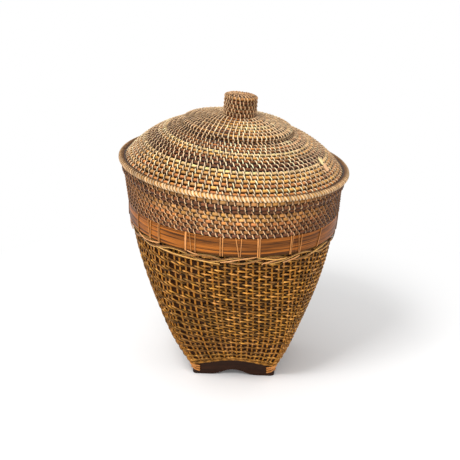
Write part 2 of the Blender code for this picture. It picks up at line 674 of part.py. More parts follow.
def make_splice(lid):
    """Pale strip laid down the slope of the tier, over the crests of its rows."""
    top, end = tier_ends()
    point, outward = arched(top, end, TIER_BULGE, SPLICE_SHARE)
    crest = COIL_SWELL - TIER_GROOVE * (1 - math.sin(math.pi / ROW_STEPS))
    place = point + outward * (crest + 2 * FIT + SPLICE_THICKNESS / 2)
    bm = bmesh.new()
    bmesh.ops.create_cube(bm, size=1)
    size = Matrix.Diagonal((SPLICE_LENGTH, SPLICE_WIDTH, SPLICE_THICKNESS, 1))
    bmesh.ops.transform(bm, matrix=size, verts=bm.verts)
    bmesh.ops.bevel(bm, geom=bm.edges, offset=SPLICE_THICKNESS / 4, segments=1, affect="EDGES")
    fall = Matrix.Rotation(math.atan2(outward.x, outward.y), 4, "Y")
    seat = Matrix.Translation((place.x, 0, place.y))
    turn = Matrix.Rotation(math.radians(SPLICE_ANGLE - 90), 4, "Z")
    bmesh.ops.transform(bm, matrix=turn @ seat @ fall, verts=bm.verts)
    mesh = slid(mesh_from(bm, "lid_splice"), end[1], TIER_RISE, CROWN_SHIFT, CROWN_LEAN)
    splice = new_object("lid_splice", mesh, lid)
    finish(splice, CANE_PALE, CANE_ROUGHNESS)


def main():
    clear_scene()
    make_foot()
    make_floor()
    make_wall()
    make_corner_lashes()
    mouth = new_object("mouth", None)
    mouth.matrix_world = MOUTH
    make_neck(mouth)
    shoulder = new_object("shoulder", None)
    shoulder.matrix_world = SHOULDER
    make_bands(shoulder)
    make_band_lashes(shoulder)
    make_crossed_strands()
    lid = new_object("lid", None)
    lid.matrix_world = MOUTH
    make_lid_rim(lid)
    make_lid_tier(lid)
    make_crown(lid)
    make_knob(lid)
    make_splice(lid)


main()
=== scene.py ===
"""Lidded storage basket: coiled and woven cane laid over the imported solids.

Metres, +Z up, the front faces -Y. Every strand follows the same curves as the solids: the woven
wall goes from a square foot to a round shoulder, and all that is coiled hangs on the leaning mouth.
"""

import math

import bpy
import numpy as np
from bpy.props import FloatProperty, FloatVectorProperty, IntProperty, PointerProperty
from mathutils import Matrix, Vector


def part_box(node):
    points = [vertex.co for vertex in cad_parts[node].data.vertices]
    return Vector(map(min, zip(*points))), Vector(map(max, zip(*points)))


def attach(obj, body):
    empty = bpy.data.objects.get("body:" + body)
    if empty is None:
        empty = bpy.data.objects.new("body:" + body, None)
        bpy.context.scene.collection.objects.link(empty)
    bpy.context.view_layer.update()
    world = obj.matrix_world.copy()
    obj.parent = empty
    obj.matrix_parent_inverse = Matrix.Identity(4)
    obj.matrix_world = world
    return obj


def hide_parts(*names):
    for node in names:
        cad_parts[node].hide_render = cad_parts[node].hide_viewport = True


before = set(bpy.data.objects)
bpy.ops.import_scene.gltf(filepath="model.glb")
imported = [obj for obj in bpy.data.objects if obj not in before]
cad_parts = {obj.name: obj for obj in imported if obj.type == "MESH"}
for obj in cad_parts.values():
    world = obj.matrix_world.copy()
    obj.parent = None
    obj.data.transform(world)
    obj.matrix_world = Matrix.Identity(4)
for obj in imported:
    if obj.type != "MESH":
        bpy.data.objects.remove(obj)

bl_info = {
    "name": "Lidded storage basket",
    "version": (1, 0, 0),
    "blender": (4, 5, 0),
    "location": "3D View > Sidebar > Basket",
    "description": "Coils, weaves and binds the lidded storage basket over its solids",
    "category": "Add Mesh",
}

TAU = math.tau

# Sizes that the solids also have
FOOT_SHIFT = 0.0033
WALL_THICKNESS = 0.0038
WALL_LOWER_EDGE = 0.021
WALL_HEIGHT = 0.2866
WALL_FOOT_CORNER = 0.010
WALL_FULLNESS = 1.8
WALL_EDGE_RISE = 0.0105
EDGE_FADE = 6
WALL_FOOT_HALF = 0.0782
ROUND_AT_SHARE = 0.95
SIDE_SHARE = 0.8
MOUTH_LEAN = math.radians(4.7)
SHOULDER_LEAN = math.radians(3.5)
MOUTH_HEIGHT = 0.3799
COIL_THICKNESS = 0.0065
COIL_SWELL = 0.0009
HOOP_RADIUS = 0.1955
HOOP_TUBE = 0.0055
SKIRT_TOP = (0.1935, -0.0058)
SKIRT_BOTTOM = (0.1935, -0.0213)
NECK_TOP = (0.190, -0.0216)
NECK_BOTTOM = (0.1849, -0.072)
NECK_OFFSET = 0.0053
BAND_TOP = -0.0723
BAND_BOTTOM = -0.1033
BAND_RADIUS = 0.1842
BAND_THICKNESS = 0.003
WALL_TOP_RADIUS = 0.1802
TIER_TOP = (0.0907, 0.0637)
TIER_END = (0.1897, -0.0004)
TIER_BULGE = 0.0109
CROWN_TOP = (0.0275, 0.0858)
CROWN_END = (0.0952, 0.0705)
CROWN_BULGE = 0.0006
CROWN_SHIFT = 0.0004
CROWN_LEAN = math.radians(1.5)
KNOB_SHIFT = 0.0019
KNOB_RADIUS = 0.0275
KNOB_BOTTOM = 0.0861
KNOB_TOP = 0.1216
KNOB_LEAN = math.radians(3.2)
CAP_SHOULDER = 0.005
CAP_THICKNESS = 0.0078

MOUTH = Matrix.Translation((0, 0, MOUTH_HEIGHT)) @ Matrix.Rotation(MOUTH_LEAN, 4, "Y")
SHOULDER = (MOUTH @ Matrix.Translation((NECK_OFFSET, 0, NECK_BOTTOM[1]))
            @ Matrix.Rotation(SHOULDER_LEAN - MOUTH_LEAN, 4, "Y")
            @ Matrix.Translation((0, 0, -NECK_BOTTOM[1])))


def srgb(red, green, blue):
    """Linear colour from the 0 to 255 values that a colour picker shows."""
    def linear(value):
        value /= 255
        return value / 12.92 if value <= 0.04045 else ((value + 0.055) / 1.055) ** 2.4
    return linear(red), linear(green), linear(blue)


class BasketSizes(bpy.types.PropertyGroup):
    """Sizes of the cane and how many stitches and strands there are."""

    rim_stitches: IntProperty(
        name="Rim stitches", description="Stitches round the hoop of the lid", default=99)
    crown_stitches: IntProperty(
        name="Crown stitches", description="Stitches round the edge of the crown", default=74)
    knob_stitches: IntProperty(
        name="Knob stitches", description="Stitches round the knob", default=26)
    stitch_width: FloatProperty(
        name="Stitch width", description="Width of the split cane of a stitch",
        default=0.0021, unit="LENGTH")
    stitch_thickness: FloatProperty(
        name="Stitch thickness", description="Thickness of the split cane of a stitch",
        default=0.0012, unit="LENGTH")
    stakes: IntProperty(
        name="Stakes", description="Upright canes round the wall", default=96)
    bundles: IntProperty(
        name="Bundles", description="Bundles of three canes up the wall", default=19)
    weaver_radius: FloatProperty(
        name="Weaver radius", description="Radius of a cane of the wall",
        default=0.0016, unit="LENGTH")


def colour_property(label, about, colour):
    """A colour that a user may change."""
    return FloatVectorProperty(name=label, description=about, subtype="COLOR", size=3,
                               min=0, max=1, default=colour)


class BasketColours(bpy.types.PropertyGroup):
    """Colours of the cane and the wood."""

    bright: colour_property("Bright cane", "Palest coil rows", srgb(236, 196, 132))
    gold: colour_property("Golden cane", "Golden coil rows", srgb(214, 156, 84))
    orange: colour_property("Orange cane", "Orange coil rows", srgb(196, 126, 66))
    brown: colour_property("Brown cane", "Brown coil rows", srgb(136, 84, 44))
    dark: colour_property("Dark cane", "Darkest coil rows", srgb(104, 60, 36))
    stitch: colour_property("Stitches", "Split cane of the stitches", srgb(241, 208, 164))
    weave: colour_property("Wall cane", "Canes of the woven wall", srgb(172, 116, 44))
    lashing: colour_property("Lashing cane", "Split cane bound over the band",
                             srgb(192, 128, 68))
    band: colour_property("Band wood", "Bent wooden band", srgb(158, 90, 27))
    board: colour_property("Board wood", "Boards of the foot", srgb(50, 26, 12))


# Curves that the strands follow

def smooth(share):
    """Ease a share from 0 to 1, level at both ends."""
    share = np.clip(share, 0, 1)
    return share * share * (3 - 2 * share)


def moved(points, matrix):
    """Points put in place by a matrix."""
    turn = np.array(matrix.to_3x3())
    return points @ turn.T + np.array(matrix.translation)


def round_points(angle, radius, height):
    """Points at an angle from the right, a radius and a height."""
    angle, radius, height = np.broadcast_arrays(angle, radius, height)
    return np.stack([radius * np.cos(angle), radius * np.sin(angle), height], -1)


def lid_place(angle, radius, height):
    """Points of the lid, whose rows step sideways and lean on their way up."""
    points = round_points(angle, radius, height)
    level = points[..., 2].copy()
    low = np.clip((level - TIER_END[1]) / (TIER_TOP[1] - TIER_END[1]), 0, 1)
    high = np.clip((level - CROWN_END[1]) / (CROWN_TOP[1] - CROWN_END[1]), 0, 1)
    knob = np.clip((level - KNOB_BOTTOM) / (KNOB_TOP - KNOB_BOTTOM), 0, 1)
    points[..., 0] += KNOB_SHIFT * high
    points[..., 2] -= points[..., 0] * math.tan(CROWN_LEAN) * low
    points[..., 2] -= points[..., 1] * math.tan(KNOB_LEAN) * knob
    points[..., 0] += CROWN_SHIFT * low
    return moved(points, MOUTH)


def neck_place(angle, radius, height):
    """Points of the neck, whose foot is neither under its top nor level with it."""
    points = round_points(angle, radius, height)
    share = np.clip((NECK_TOP[1] - points[..., 2]) / (NECK_TOP[1] - NECK_BOTTOM[1]), 0, 1)
    points[..., 2] -= points[..., 0] * math.tan(SHOULDER_LEAN - MOUTH_LEAN) * share
    points[..., 0] += NECK_OFFSET * share
    return moved(points, MOUTH)


def shoulder_place(angle, radius, height):
    """Points of the shoulder, under the neck."""
    return moved(round_points(angle, radius, height), SHOULDER)


def wall_centre(rise):
    """Middle of the wall, from upright over the foot to square with the shoulder."""
    foot = np.array((FOOT_SHIFT, 0, WALL_LOWER_EDGE))
    top = np.array(SHOULDER @ Vector((0, 0, BAND_TOP)))
    length = np.linalg.norm(top - foot)
    leaving = np.array((0, 0, length))
    arriving = np.array(SHOULDER.to_3x3() @ Vector((0, 0, length)))
    rise = rise[..., None]
    square = rise * rise
    cube = square * rise
    return ((2 * cube - 3 * square + 1) * foot + (cube - 2 * square + rise) * leaving
            + (3 * square - 2 * cube) * top + (cube - square) * arriving)


def wall_place(share, rise, depth=0.0):
    """Points of the wall: a share of the way round, a share of the way up, a depth inside."""
    share, rise, depth = np.broadcast_arrays(share, rise, depth)
    flare = 1 - (1 - np.clip(rise, 0, 1)) ** WALL_FULLNESS
    half = WALL_FOOT_HALF + (WALL_TOP_RADIUS - WALL_FOOT_HALF) * flare - depth
    corner = WALL_FOOT_CORNER - depth
    quarter = np.rint(share * 4)
    place = (share * 4 - quarter) * 2
    run = np.abs(place)
    bend = math.radians(45) * np.maximum(run - SIDE_SHARE, 0) / (1 - SIDE_SHARE)
    straight = run < SIDE_SHARE
    x = np.where(straight, half, half - corner + corner * np.cos(bend))
    y = np.where(straight, (half - corner) * run / SIDE_SHARE,
                 half - corner + corner * np.sin(bend)) * np.sign(place)
    turn = quarter * math.radians(90)
    square = np.stack([x * np.cos(turn) - y * np.sin(turn), x * np.sin(turn) + y * np.cos(turn)], -1)
    angle = TAU * share
    circle = half[..., None] * np.stack([np.cos(angle), np.sin(angle)], -1)
    blend = (1 - (1 - np.clip(rise / ROUND_AT_SHARE, 0, 1)) ** 2)[..., None]
    plan = square + (circle - square) * blend
    bell = (1 + np.cos(math.pi * place)) / 2
    arch = WALL_EDGE_RISE * bell * (1 - np.clip(rise, 0, 1)) ** EDGE_FADE
    lean = SHOULDER_LEAN * smooth(rise)
    place = wall_centre(rise)
    return place + np.stack([plan[..., 0] * np.cos(lean) + arch * np.sin(lean), plan[..., 1],
                             arch * np.cos(lean) - plan[..., 0] * np.sin(lean)], -1)


def wall_out(share, rise):
    """Direction out of the wall."""
    step = 0.002
    across = wall_place(share + step, rise) - wall_place(share - step, rise)
    up = wall_place(share, rise + step) - wall_place(share, rise - step)
    return unit(np.cross(across, up))


def unit(vectors):
    """The vectors at a length of 1."""
    return vectors / np.maximum(np.linalg.norm(vectors, axis=-1, keepdims=True), 1e-12)


def arched(start, end, bulge, share):
    """Point, tangent and outward direction a share of the way down a line that arches out."""
    start, end = np.array(start), np.array(end)
    along = end - start
    outward = np.array((-along[1], along[0])) / np.linalg.norm(along)
    point = start + along * share + outward * 4 * bulge * share * (1 - share)
    tangent = along + outward * 4 * bulge * (1 - 2 * share)
    tangent /= np.linalg.norm(tangent)
    return point, tangent, np.array((-tangent[1], tangent[0]))


def wander(angle, seed, waves=4):
    """Slow change round a row, between about -1 and 1."""
    random = np.random.default_rng(seed)
    total = np.zeros_like(angle)
    for wave in range(1, waves + 1):
        total += random.uniform(0.4, 1) / waves * 1.6 * np.sin(wave * angle + random.uniform(0, TAU))
    return total


def towards(place, angle, radius, height, step):
    """Direction in the model of a step in radius and height."""
    return unit(place(angle, radius + step[0], height + step[1]) - place(angle, radius, height))


# Meshes

# Painted shade makes cane browner as well as darker, and painted highlights paler
WARM_SHADE = np.array((1.0, 1.15, 1.4))


class Strands:
    """Gathers many strands in one mesh, with a colour and a place in the fibre for each point.

    The seed starts the random draws of a piece, so that each run lays it the same way.
    """

    def __init__(self, seed):
        self.points, self.faces, self.colours, self.fibres = [], [], [], []
        self.count = 0
        self.random = np.random.default_rng(seed)

    def add(self, path, out, wide, thick, colour, sides=6, ring=False, across=None, groove=0.45,
            corner=0.5, tilt=0.0, shades=None):
        """Lay strands along paths of shape (strands, steps, 3), or one along (steps, 3).

        out and across are the directions of a strand's thickness and width, across square to
        the path unless it is given. wide and thick are half sizes, groove is the painted shade on the
        sides and the back, tilt painted shade on the side that across points to. shades gives the
        painted light and shade of each side instead.
        """
        path = path.reshape(-1, *path.shape[-2:])
        out = np.broadcast_to(out, path.shape)
        if across is None:
            across = unit(np.cross(along_path(path, ring), out))
        across = np.broadcast_to(across, path.shape)
        strands, steps = path.shape[:2]
        angle = TAU * (np.arange(sides) + corner) / sides
        wide = np.broadcast_to(wide, (strands, steps))[..., None, None]
        thick = np.broadcast_to(thick, (strands, steps))[..., None, None]
        cosine = np.cos(angle)[None, None, :, None]
        sine = np.sin(angle)[None, None, :, None]
        body = (path[:, :, None] + across[:, :, None] * wide * cosine
                + out[:, :, None] * thick * sine)
        length = np.linalg.norm(np.diff(path, axis=1), axis=-1)
        along = np.concatenate([np.zeros((strands, 1)), np.cumsum(length, 1)], 1)
        offset = self.random.uniform(0, 9, (strands, 3))
        fibre = np.empty(body.shape)
        fibre[..., 0] = along[..., None] + offset[:, None, None, 0]
        fibre[..., 1] = (wide * cosine)[..., 0] + offset[:, None, None, 1]
        fibre[..., 2] = (thick * sine)[..., 0] + offset[:, None, None, 2]
        # Painted light and shade of each side, made browner where darker by WARM_SHADE
        if shades is None:
            face = np.clip(sine if corner == 0 else 0.25 + sine, 0, 1)
            shade = (groove + (1 - groove) * face ** 0.7) * (1 - tilt * cosine)
        else:
            shade = np.asarray(shades)[None, None, :, None]
        colours = np.broadcast_to(colour, (strands, steps, 3))[:, :, None] * shade ** WARM_SHADE
        index = self.count + np.arange(strands * steps * sides).reshape(strands, steps, sides)
        low = index if ring else index[:, :-1]
        high = np.roll(index, -1, 1) if ring else index[:, 1:]
        low_next, high_next = np.roll(low, -1, 2), np.roll(high, -1, 2)
        self.faces.append(np.stack([low, high, high_next, low_next], -1).reshape(-1, 4))
        if not ring:
            for end, order in ((index[:, 0], slice(None)), (index[:, -1], slice(None, None, -1))):
                for place in range(1, sides - 1, 2):
                    last = min(place + 2, sides - 1)
                    quad = np.stack([end[:, 0], end[:, place], end[:, place + 1], end[:, last]], -1)
                    self.faces.append(quad[:, order])
        self.points.append(body.reshape(-1, 3))
        self.colours.append(colours.reshape(-1, 3))
        self.fibres.append(fibre.reshape(-1, 3))
        self.count += strands * steps * sides

    def piece(self, name, finish):
        """One object from all the strands, in a finish of cane."""
        points = np.concatenate(self.points)
        faces = [tuple(dict.fromkeys(face)) for face in np.concatenate(self.faces).tolist()]
        mesh = bpy.data.meshes.new(name)
        mesh.from_pydata(points.tolist(), [], faces)
        mesh.shade_smooth()
        paint(mesh, np.concatenate(self.colours), np.concatenate(self.fibres))
        mesh.materials.append(cane_finish(finish))
        return linked(name, mesh)


def paint(mesh, colours, fibres):
    """Store a colour and a place in the fibre for each point of a mesh."""
    colour = mesh.color_attributes.new("cane", "FLOAT_COLOR", "POINT")
    opaque = np.concatenate([np.clip(colours, 0, 1), np.ones((len(colours), 1))], 1)
    colour.data.foreach_set("color", opaque.ravel().astype(np.float32))
    fibre = mesh.attributes.new("fibre", "FLOAT_VECTOR", "POINT")
    fibre.data.foreach_set("vector", np.asarray(fibres, np.float32).ravel())


def along_path(path, ring):
    """Direction along each path."""
    if ring:
        return unit(np.roll(path, -1, 1) - np.roll(path, 1, 1))
    return unit(np.gradient(path, axis=1))


def linked(name, data):
    """An object of the scene that shows a mesh, a light or a camera."""
    thing = bpy.data.objects.new(name, data)
    bpy.context.scene.collection.objects.link(thing)
    return thing


def deselect():
    """Leave nothing selected."""
    for thing in bpy.context.selected_objects:
        thing.select_set(False)


def edit(thing):
    """Select one object alone, and all of its mesh in edit mode."""
    deselect()
    thing.select_set(True)
    bpy.context.view_layer.objects.active = thing
    bpy.ops.object.mode_set(mode="EDIT")
    bpy.ops.mesh.select_all(action="SELECT")


def soften(thing, width, sharp, smooth_under):
    """Round the edges sharper than an angle, and shade smooth under another."""
    bevel = thing.modifiers.new("soft_edges", "BEVEL")
    bevel.width = width
    bevel.segments = 2
    bevel.limit_method = "ANGLE"
    bevel.angle_limit = math.radians(sharp)
    bpy.ops.object.modifier_apply(modifier="soft_edges")
    bpy.ops.object.shade_smooth_by_angle(angle=math.radians(smooth_under))


def hold(thing, nodes, body):
    """Let a piece ride on a body and stand for its solids, which it hides."""
    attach(thing, body)
    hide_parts(*nodes)


# Materials

WHITE = (1, 1, 1, 1)


class Sock:
    """A socket whose multiplication adds a Math node."""

    def __init__(self, tree, socket):
        self.tree, self.socket = tree, socket

    def __mul__(self, other):
        return self.tree.node("ShaderNodeMath", {"operation": "MULTIPLY"}, {0: self, 1: other})

    __rmul__ = __mul__


class Tree:
    """The nodes of a material or of the world."""

    def __init__(self, owner):
        owner.use_nodes = True
        self.owner = owner
        self.nodes = owner.node_tree.nodes
        self.links = owner.node_tree.links

    def fill(self, node, values):
        """Set or link the sockets of a node."""
        for key, value in values.items():
            if isinstance(value, Sock):
                self.links.new(value.socket, node.inputs[key])
            else:
                node.inputs[key].default_value = value

    def node(self, kind, settings=None, values=None, output=0):
        """A node of a kind: its settings first, then the values or links of its sockets."""
        node = self.nodes.new(kind)
        for key, value in (settings or {}).items():
            setattr(node, key, value)
        self.fill(node, values or {})
        return Sock(self, node.outputs[output])

    def noise(self, vector, scale, detail=2.0, rough=0.5):
        """Noise from 0 to 1, about 0.5."""
        return self.node("ShaderNodeTexNoise", None, {"Vector": vector, "Scale": scale,
                                                      "Detail": detail, "Roughness": rough})

    def stretched(self, vector, scale):
        """The same coordinates, with each axis times a number."""
        return self.node("ShaderNodeVectorMath", {"operation": "MULTIPLY"}, {0: vector, 1: scale})

    def lit(self, colour, light):
        """A colour times a number."""
        return self.node("ShaderNodeVectorMath", {"operation": "SCALE"}, {0: colour, 3: light})

    def mix(self, factor, first, second, kind="MIX"):
        """Two colours mixed."""
        return self.node("ShaderNodeMix", {"data_type": "RGBA", "blend_type": kind},
                         {0: factor, 6: first, 7: second}, output=2)

    def span(self, value, low, high, to_low=0.0, to_high=1.0):
        """A value's stretch from low to high, as a stretch between two others."""
        return self.node("ShaderNodeMapRange", None,
                         {0: value, 1: low, 2: high, 3: to_low, 4: to_high})

    def relief(self, height, strength):
        """The normal of a fine relief."""
        return self.node("ShaderNodeBump", None, {"Strength": strength, "Distance": 0.0004,
                                                  "Height": height})

    def painted(self):
        """The colour and the place in the fibre that each point of a mesh stores."""
        return (self.node("ShaderNodeVertexColor", {"layer_name": "cane"}),
                self.node("ShaderNodeAttribute", {"attribute_name": "fibre"}, output=1))

    def in_object(self):
        """Object coordinates."""
        return self.node("ShaderNodeTexCoord", output="Object")


def cane_material(name, roughness, streaks=0.35, bump=0.25, wear=0.3, gloss=0.2):
    """Cane: the colour of each strand, with streaks along its fibres and worn, greyer places.

    streaks tells how strong they are, wear how grey the worn places get.
    """
    tree = Tree(bpy.data.materials.new(name))
    colour, fibre = tree.painted()
    place = tree.in_object()
    streak = tree.noise(tree.stretched(fibre, (70, 1500, 1500)), 1.0, 3.0)
    patch = tree.noise(tree.stretched(fibre, (140, 90, 90)), 1.0, 2.0)
    stain = tree.noise(place, 22.0, 3.0)
    light = (tree.span(streak, 0.3, 0.7, 1 - streaks, 1 + streaks * 0.6)
             * tree.span(patch, 0.3, 0.7, 0.86, 1.12) * tree.span(stain, 0.35, 0.65, 0.88, 1.1))
    shaded = tree.lit(colour, light)
    grey = tree.node("ShaderNodeHueSaturation", None,
                     {"Saturation": 0.8, "Value": 1.1, "Color": shaded})
    worn = tree.span(tree.noise(place, 60.0, 4.0), 0.52, 0.7, 0, wear)
    tree.fill(tree.nodes["Principled BSDF"], {
        "Specular IOR Level": gloss,
        "Base Color": tree.mix(worn, shaded, grey),
        "Roughness": tree.span(streak, 0.3, 0.7, roughness - 0.06, roughness + 0.1),
        "Normal": tree.relief(streak, bump),
    })
    return tree.owner


def wood_material(name, colour, roughness, grain, contrast, bump=0.15):
    """Wood: long grain along the fibre, darker pores, and slow change of tone.

    grain is how many lines of it a metre holds, contrast how dark they are.
    """
    tree = Tree(bpy.data.materials.new(name))
    shade, fibre = tree.painted()
    bend = tree.noise(tree.stretched(fibre, (9, 60, 60)), 1.0, 3.0)
    line = tree.noise(tree.stretched(fibre, (7, grain, grain)), 1.0, 5.0, 0.62)
    pores = tree.noise(tree.stretched(fibre, (60, grain * 3, grain * 3)), 1.0, 2.0)
    light = (tree.span(line, 0.4, 0.62, 1 - contrast, 1 + contrast * 0.45)
             * tree.span(bend, 0.3, 0.7, 0.76, 1.2) * tree.span(pores, 0.3, 0.5, 0.8, 1.0))
    tree.fill(tree.nodes["Principled BSDF"], {
        "Specular IOR Level": 0.15,
        "Base Color": tree.lit(tree.mix(1.0, (*colour, 1), shade, "MULTIPLY"), light),
        "Roughness": tree.span(pores, 0.3, 0.6, roughness + 0.12, roughness - 0.04),
        "Normal": tree.relief(line, bump),
    })
    return tree.owner


CANE_FINISHES = {
    "coil_cane": {"roughness": 0.42},
    "wall_cane": {"roughness": 0.46, "streaks": 0.4, "wear": 0.22, "gloss": 0.12},
    "lashing_cane": {"roughness": 0.4, "streaks": 0.3, "bump": 0.2, "wear": 0.25},
}


def cane_finish(name):
    """A material of cane that several pieces use, made once."""
    return bpy.data.materials.get(name) or cane_material(name, **CANE_FINISHES[name])


# Coils

# Painted light and shade of the eight sides of a coil's core, from its lower edge over its face to
# its back: painted shade in the grooves, a painted highlight on the upper face
CORE_SHADES = (0.02, 0.1, 1.0, 1.25, 0.15, 0.4, 0.7, 0.4)
# The same painted light and shade for a row without a groove beside it, and for a flat strip with
# painted shade at its edges
HOOP_SHADES = (0.05, 0.12, 0.9, 1.05, 0.45, 0.5, 0.3, 0.2)
FLAT_SHADES = (0.1, 0.55, 1.1, 0.55, 0.1, 0.1, 0.1, 0.1)
# Painted light and shade of the four sides of a flat splint inside the wall: painted shade on the
# face behind the weave, plain within
SPLINT_SHADES = (0.08, 0.08, 0.7, 0.7)
# Angles round a stitch, from its lower end over its face to its back, and the painted light and shade
# there
LOOP = np.radians((5, 42, 80, 118, 155, 190, 270, 350))
LONG_STITCH = (1.1, 1.22, 1.22, 1.18, 1.05, 0.5, 0.6, 0.55)
DOTTED_STITCH = (2.3, 2.0, 1.25, 1.15, 1.0, 0.5, 0.6, 1.0)
# Places along a core from one stitch to the next
CORE_PLACES = np.array((-0.04, 0.16, 0.38, 0.84))


def coil(strands, place, line, tone, stitches, sizes, slant=0.15, thick=COIL_THICKNESS, stretch=1.1,
         stagger=0.5, gap=0.05, fill=1.0, shades=CORE_SHADES, threads=LONG_STITCH, uneven=0.2,
         pinched=0.9, slim=0.0, broad=1.0):
    """Coil rows down a line of the profile, each bound with stitches over its core.

    place puts profile points in the model, line is (start, end, bulge), tone(row, angle) is the
    colour of the core and of the stitches, and stitches gives how many each row has. slant is
    how far a stitch leans, in stitches, stretch how far it reaches over the rows beside it,
    stagger how far a row's stitches stand on from those above, and gap the painted shade on the
    core just after each stitch. fill and pinched are the core's height between stitches and under
    them, shades the painted light and shade round the core, threads the painted light and shade
    along a stitch, uneven how much the core's tone varies, broad how wide the stitches are, and
    """
    start, end, bulge = line
    rows = len(stitches)
    pitch = np.linalg.norm(np.subtract(end, start)) / rows
    half, depth = pitch / 2 * fill, thick / 2
    reach, lift = half * stretch, depth + sizes.stitch_thickness * 0.45
    down, over = np.cos(LOOP) * reach, np.sin(LOOP) * lift
    normal = (np.cos(LOOP) * lift, np.sin(LOOP) * reach)
    light = np.array(threads)[None, :, None] ** WARM_SHADE
    random = strands.random
    turns = np.cumsum(np.broadcast_to(stagger, rows))
    for row, count in enumerate(stitches):
        point, tangent, outward = arched(start, end, bulge, (row + 0.5) / rows)
        middle = point + outward * (COIL_SWELL - thick / 2)
        starts = TAU * (np.arange(count) + turns[row] + random.uniform(-0.12, 0.12, count)) / count
        angle = (starts[:, None] + TAU / count * CORE_PLACES).ravel()
        pinch = np.tile((pinched, pinched, 1.0, 0.98), count)
        pinch = pinch * random.uniform(0.97, 1.02, pinch.size)
        # Painted shade on the core beside each stitch, deepest just after it, and a painted highlight
        # between stitches
        dark = np.tile((0.4, gap, 1.2, 1.0), count)[:, None]
        core, thread = tone(row, angle)
        bead = random.normal(1, uneven, (count, 1)).clip(0.5, 1.5).repeat(4, 0)
        bead = bead * random.normal(1, (0, 0.03, 0.08), (count, 3)).repeat(4, 0)
        strands.add(place(angle, *middle), towards(place, angle, *middle, outward), half * pinch,
                    depth * pinch, core * dark * bead, 8, True,
                    towards(place, angle, *middle, tangent), corner=0, shades=shades)
        lean = slant * TAU / count * random.uniform(0.7, 1.3, count)[:, None]
        bend = starts[:, None] + lean * np.cos(LOOP)
        radius, height = (middle[axis] + tangent[axis] * down + outward[axis] * over
                          for axis in (0, 1))
        step = [(tangent[axis] * normal[0] + outward[axis] * normal[1]) * 0.1 for axis in (0, 1)]
        shade = random.normal(1, 0.16, (count, 1, 1)).clip(0.6, 1.3)
        wide = sizes.stitch_width * broad / 2 * random.uniform(0.85, 1.2, (count, 1))
        wide = wide * (1 - slim * facing(starts, -170, 110)[:, None])
        strands.add(place(bend, radius, height), towards(place, bend, radius, height, step), wide,
                    sizes.stitch_thickness / 2, thread.reshape(count, 4, 3)[:, :1] * shade * light,
                    4, True, groove=0.6)


def growing(low, high, rows):
    """Stitches of rows that grow from one count to another."""
    return [round(low + (high - low) * (row + 0.5) / rows) for row in range(rows)]


def lay_bed(strands, radius, height, half, colour):
    """Lay a plain cane, dark with painted shade, under the stitches where two forms of the lid meet.
    """
    angle = TAU * np.arange(120) / 120
    strands.add(lid_place(angle, radius, height),
                towards(lid_place, angle, radius, height, (0.01, 0)), half, half,
                np.array(colour) * 0.3, 6, True,
                towards(lid_place, angle, radius, height, (0, -0.01)))


def blend_tones(low, high, share):
    """Colours a share of the way from one to another."""
    share = np.clip(share, 0, 1)
    return np.asarray(low) + (np.asarray(high) - np.asarray(low)) * np.asarray(share)[..., None]


def row_tones(names, colours, seed, light, pale=1.0, follow=0.3):
    """Colour of each row's core and stitches, by the names of its tones.

    light(row, angle) is the painted light of a row, whose painted shade also turns the core and
    stitches towards orange; pale tells how pale its stitches are, and follow how far they
    darken with it.
    """
    def tone(row, angle):
        name = names[row]
        drift = wander(angle, seed * 100 + row)
        core = np.array(getattr(colours, name)) * (1 + 0.14 * drift[:, None])
        other = np.array(colours.brown if name != "brown" else colours.gold)
        core = blend_tones(core, other, 0.28 * np.clip(wander(angle, seed * 100 + row + 50), 0, 1))
        thread = blend_tones(colours.orange, colours.stitch, np.full(len(angle), pale))
        thread = thread * (1 + 0.08 * drift[:, None])
        level = light(row, angle)[:, None]
        thread = blend_tones(thread, colours.orange, (1 - level[:, 0]) * follow)
        core = blend_tones(core, colours.orange, (1 - level[:, 0]) * 0.7) * level ** WARM_SHADE
        return core, thread * (1 - follow * (1 - level)) ** WARM_SHADE
    return tone


def facing(angle, middle, reach):
    """How near an angle is to a middle, from 1 there to 0 at a reach from it, both in degrees."""
    away = np.abs((angle - math.radians(middle) + math.pi) % TAU - math.pi)
    return smooth(1 - away / math.radians(reach))


def dimmed(level, *sides, first=1.0):
    """Painted light round a row: a level, less the painted shade each side takes, times first in the
    first row.

    A side is its middle and its reach in degrees from the right, and what it takes.
    """
    def light(row, angle):
        value = level
        for middle, reach, loss in sides:
            value = value - loss * facing(angle, middle, reach)
        return value * (first if row == 0 else 1)
    return light


def tier_light(row, angle):
    """Painted light of the tier: painted shade on the left, deep in the rows listed in upper, lighter
    painted shade on the right, and painted shadow on the first row under the crown's edge.
    """
    left = facing(angle, -165, 100)
    right = facing(angle, 10, 80)
    upper = 1 if row in (0, 1, 2, 3, 6, 7, 8) else 0.3
    return (1 - 0.7 * left * upper - 0.35 * right) * (0.2 if row == 0 else 1)


FRONT = -math.pi / 2

# Painted light of the crown, the rim, the knob and its cap: a level, less painted shade on the sides
# named
CROWN_LIGHT = dimmed(1, (-170, 110, 0.7), (0, 90, 0.4))
RIM_LIGHT = dimmed(1, (10, 90, 0.25), (180, 90, 0.4))
KNOB_LIGHT = dimmed(0.36, (0, 70, 0.17))
CAP_LIGHT = dimmed(0.66, (0, 90, 0.2))
# Painted shade under the hoop on the skirt and the neck: a little overall, deepest on the right and
# the left
UNDER_RIM = (0.9, (0, 90, 0.84), (185, 95, 0.82))

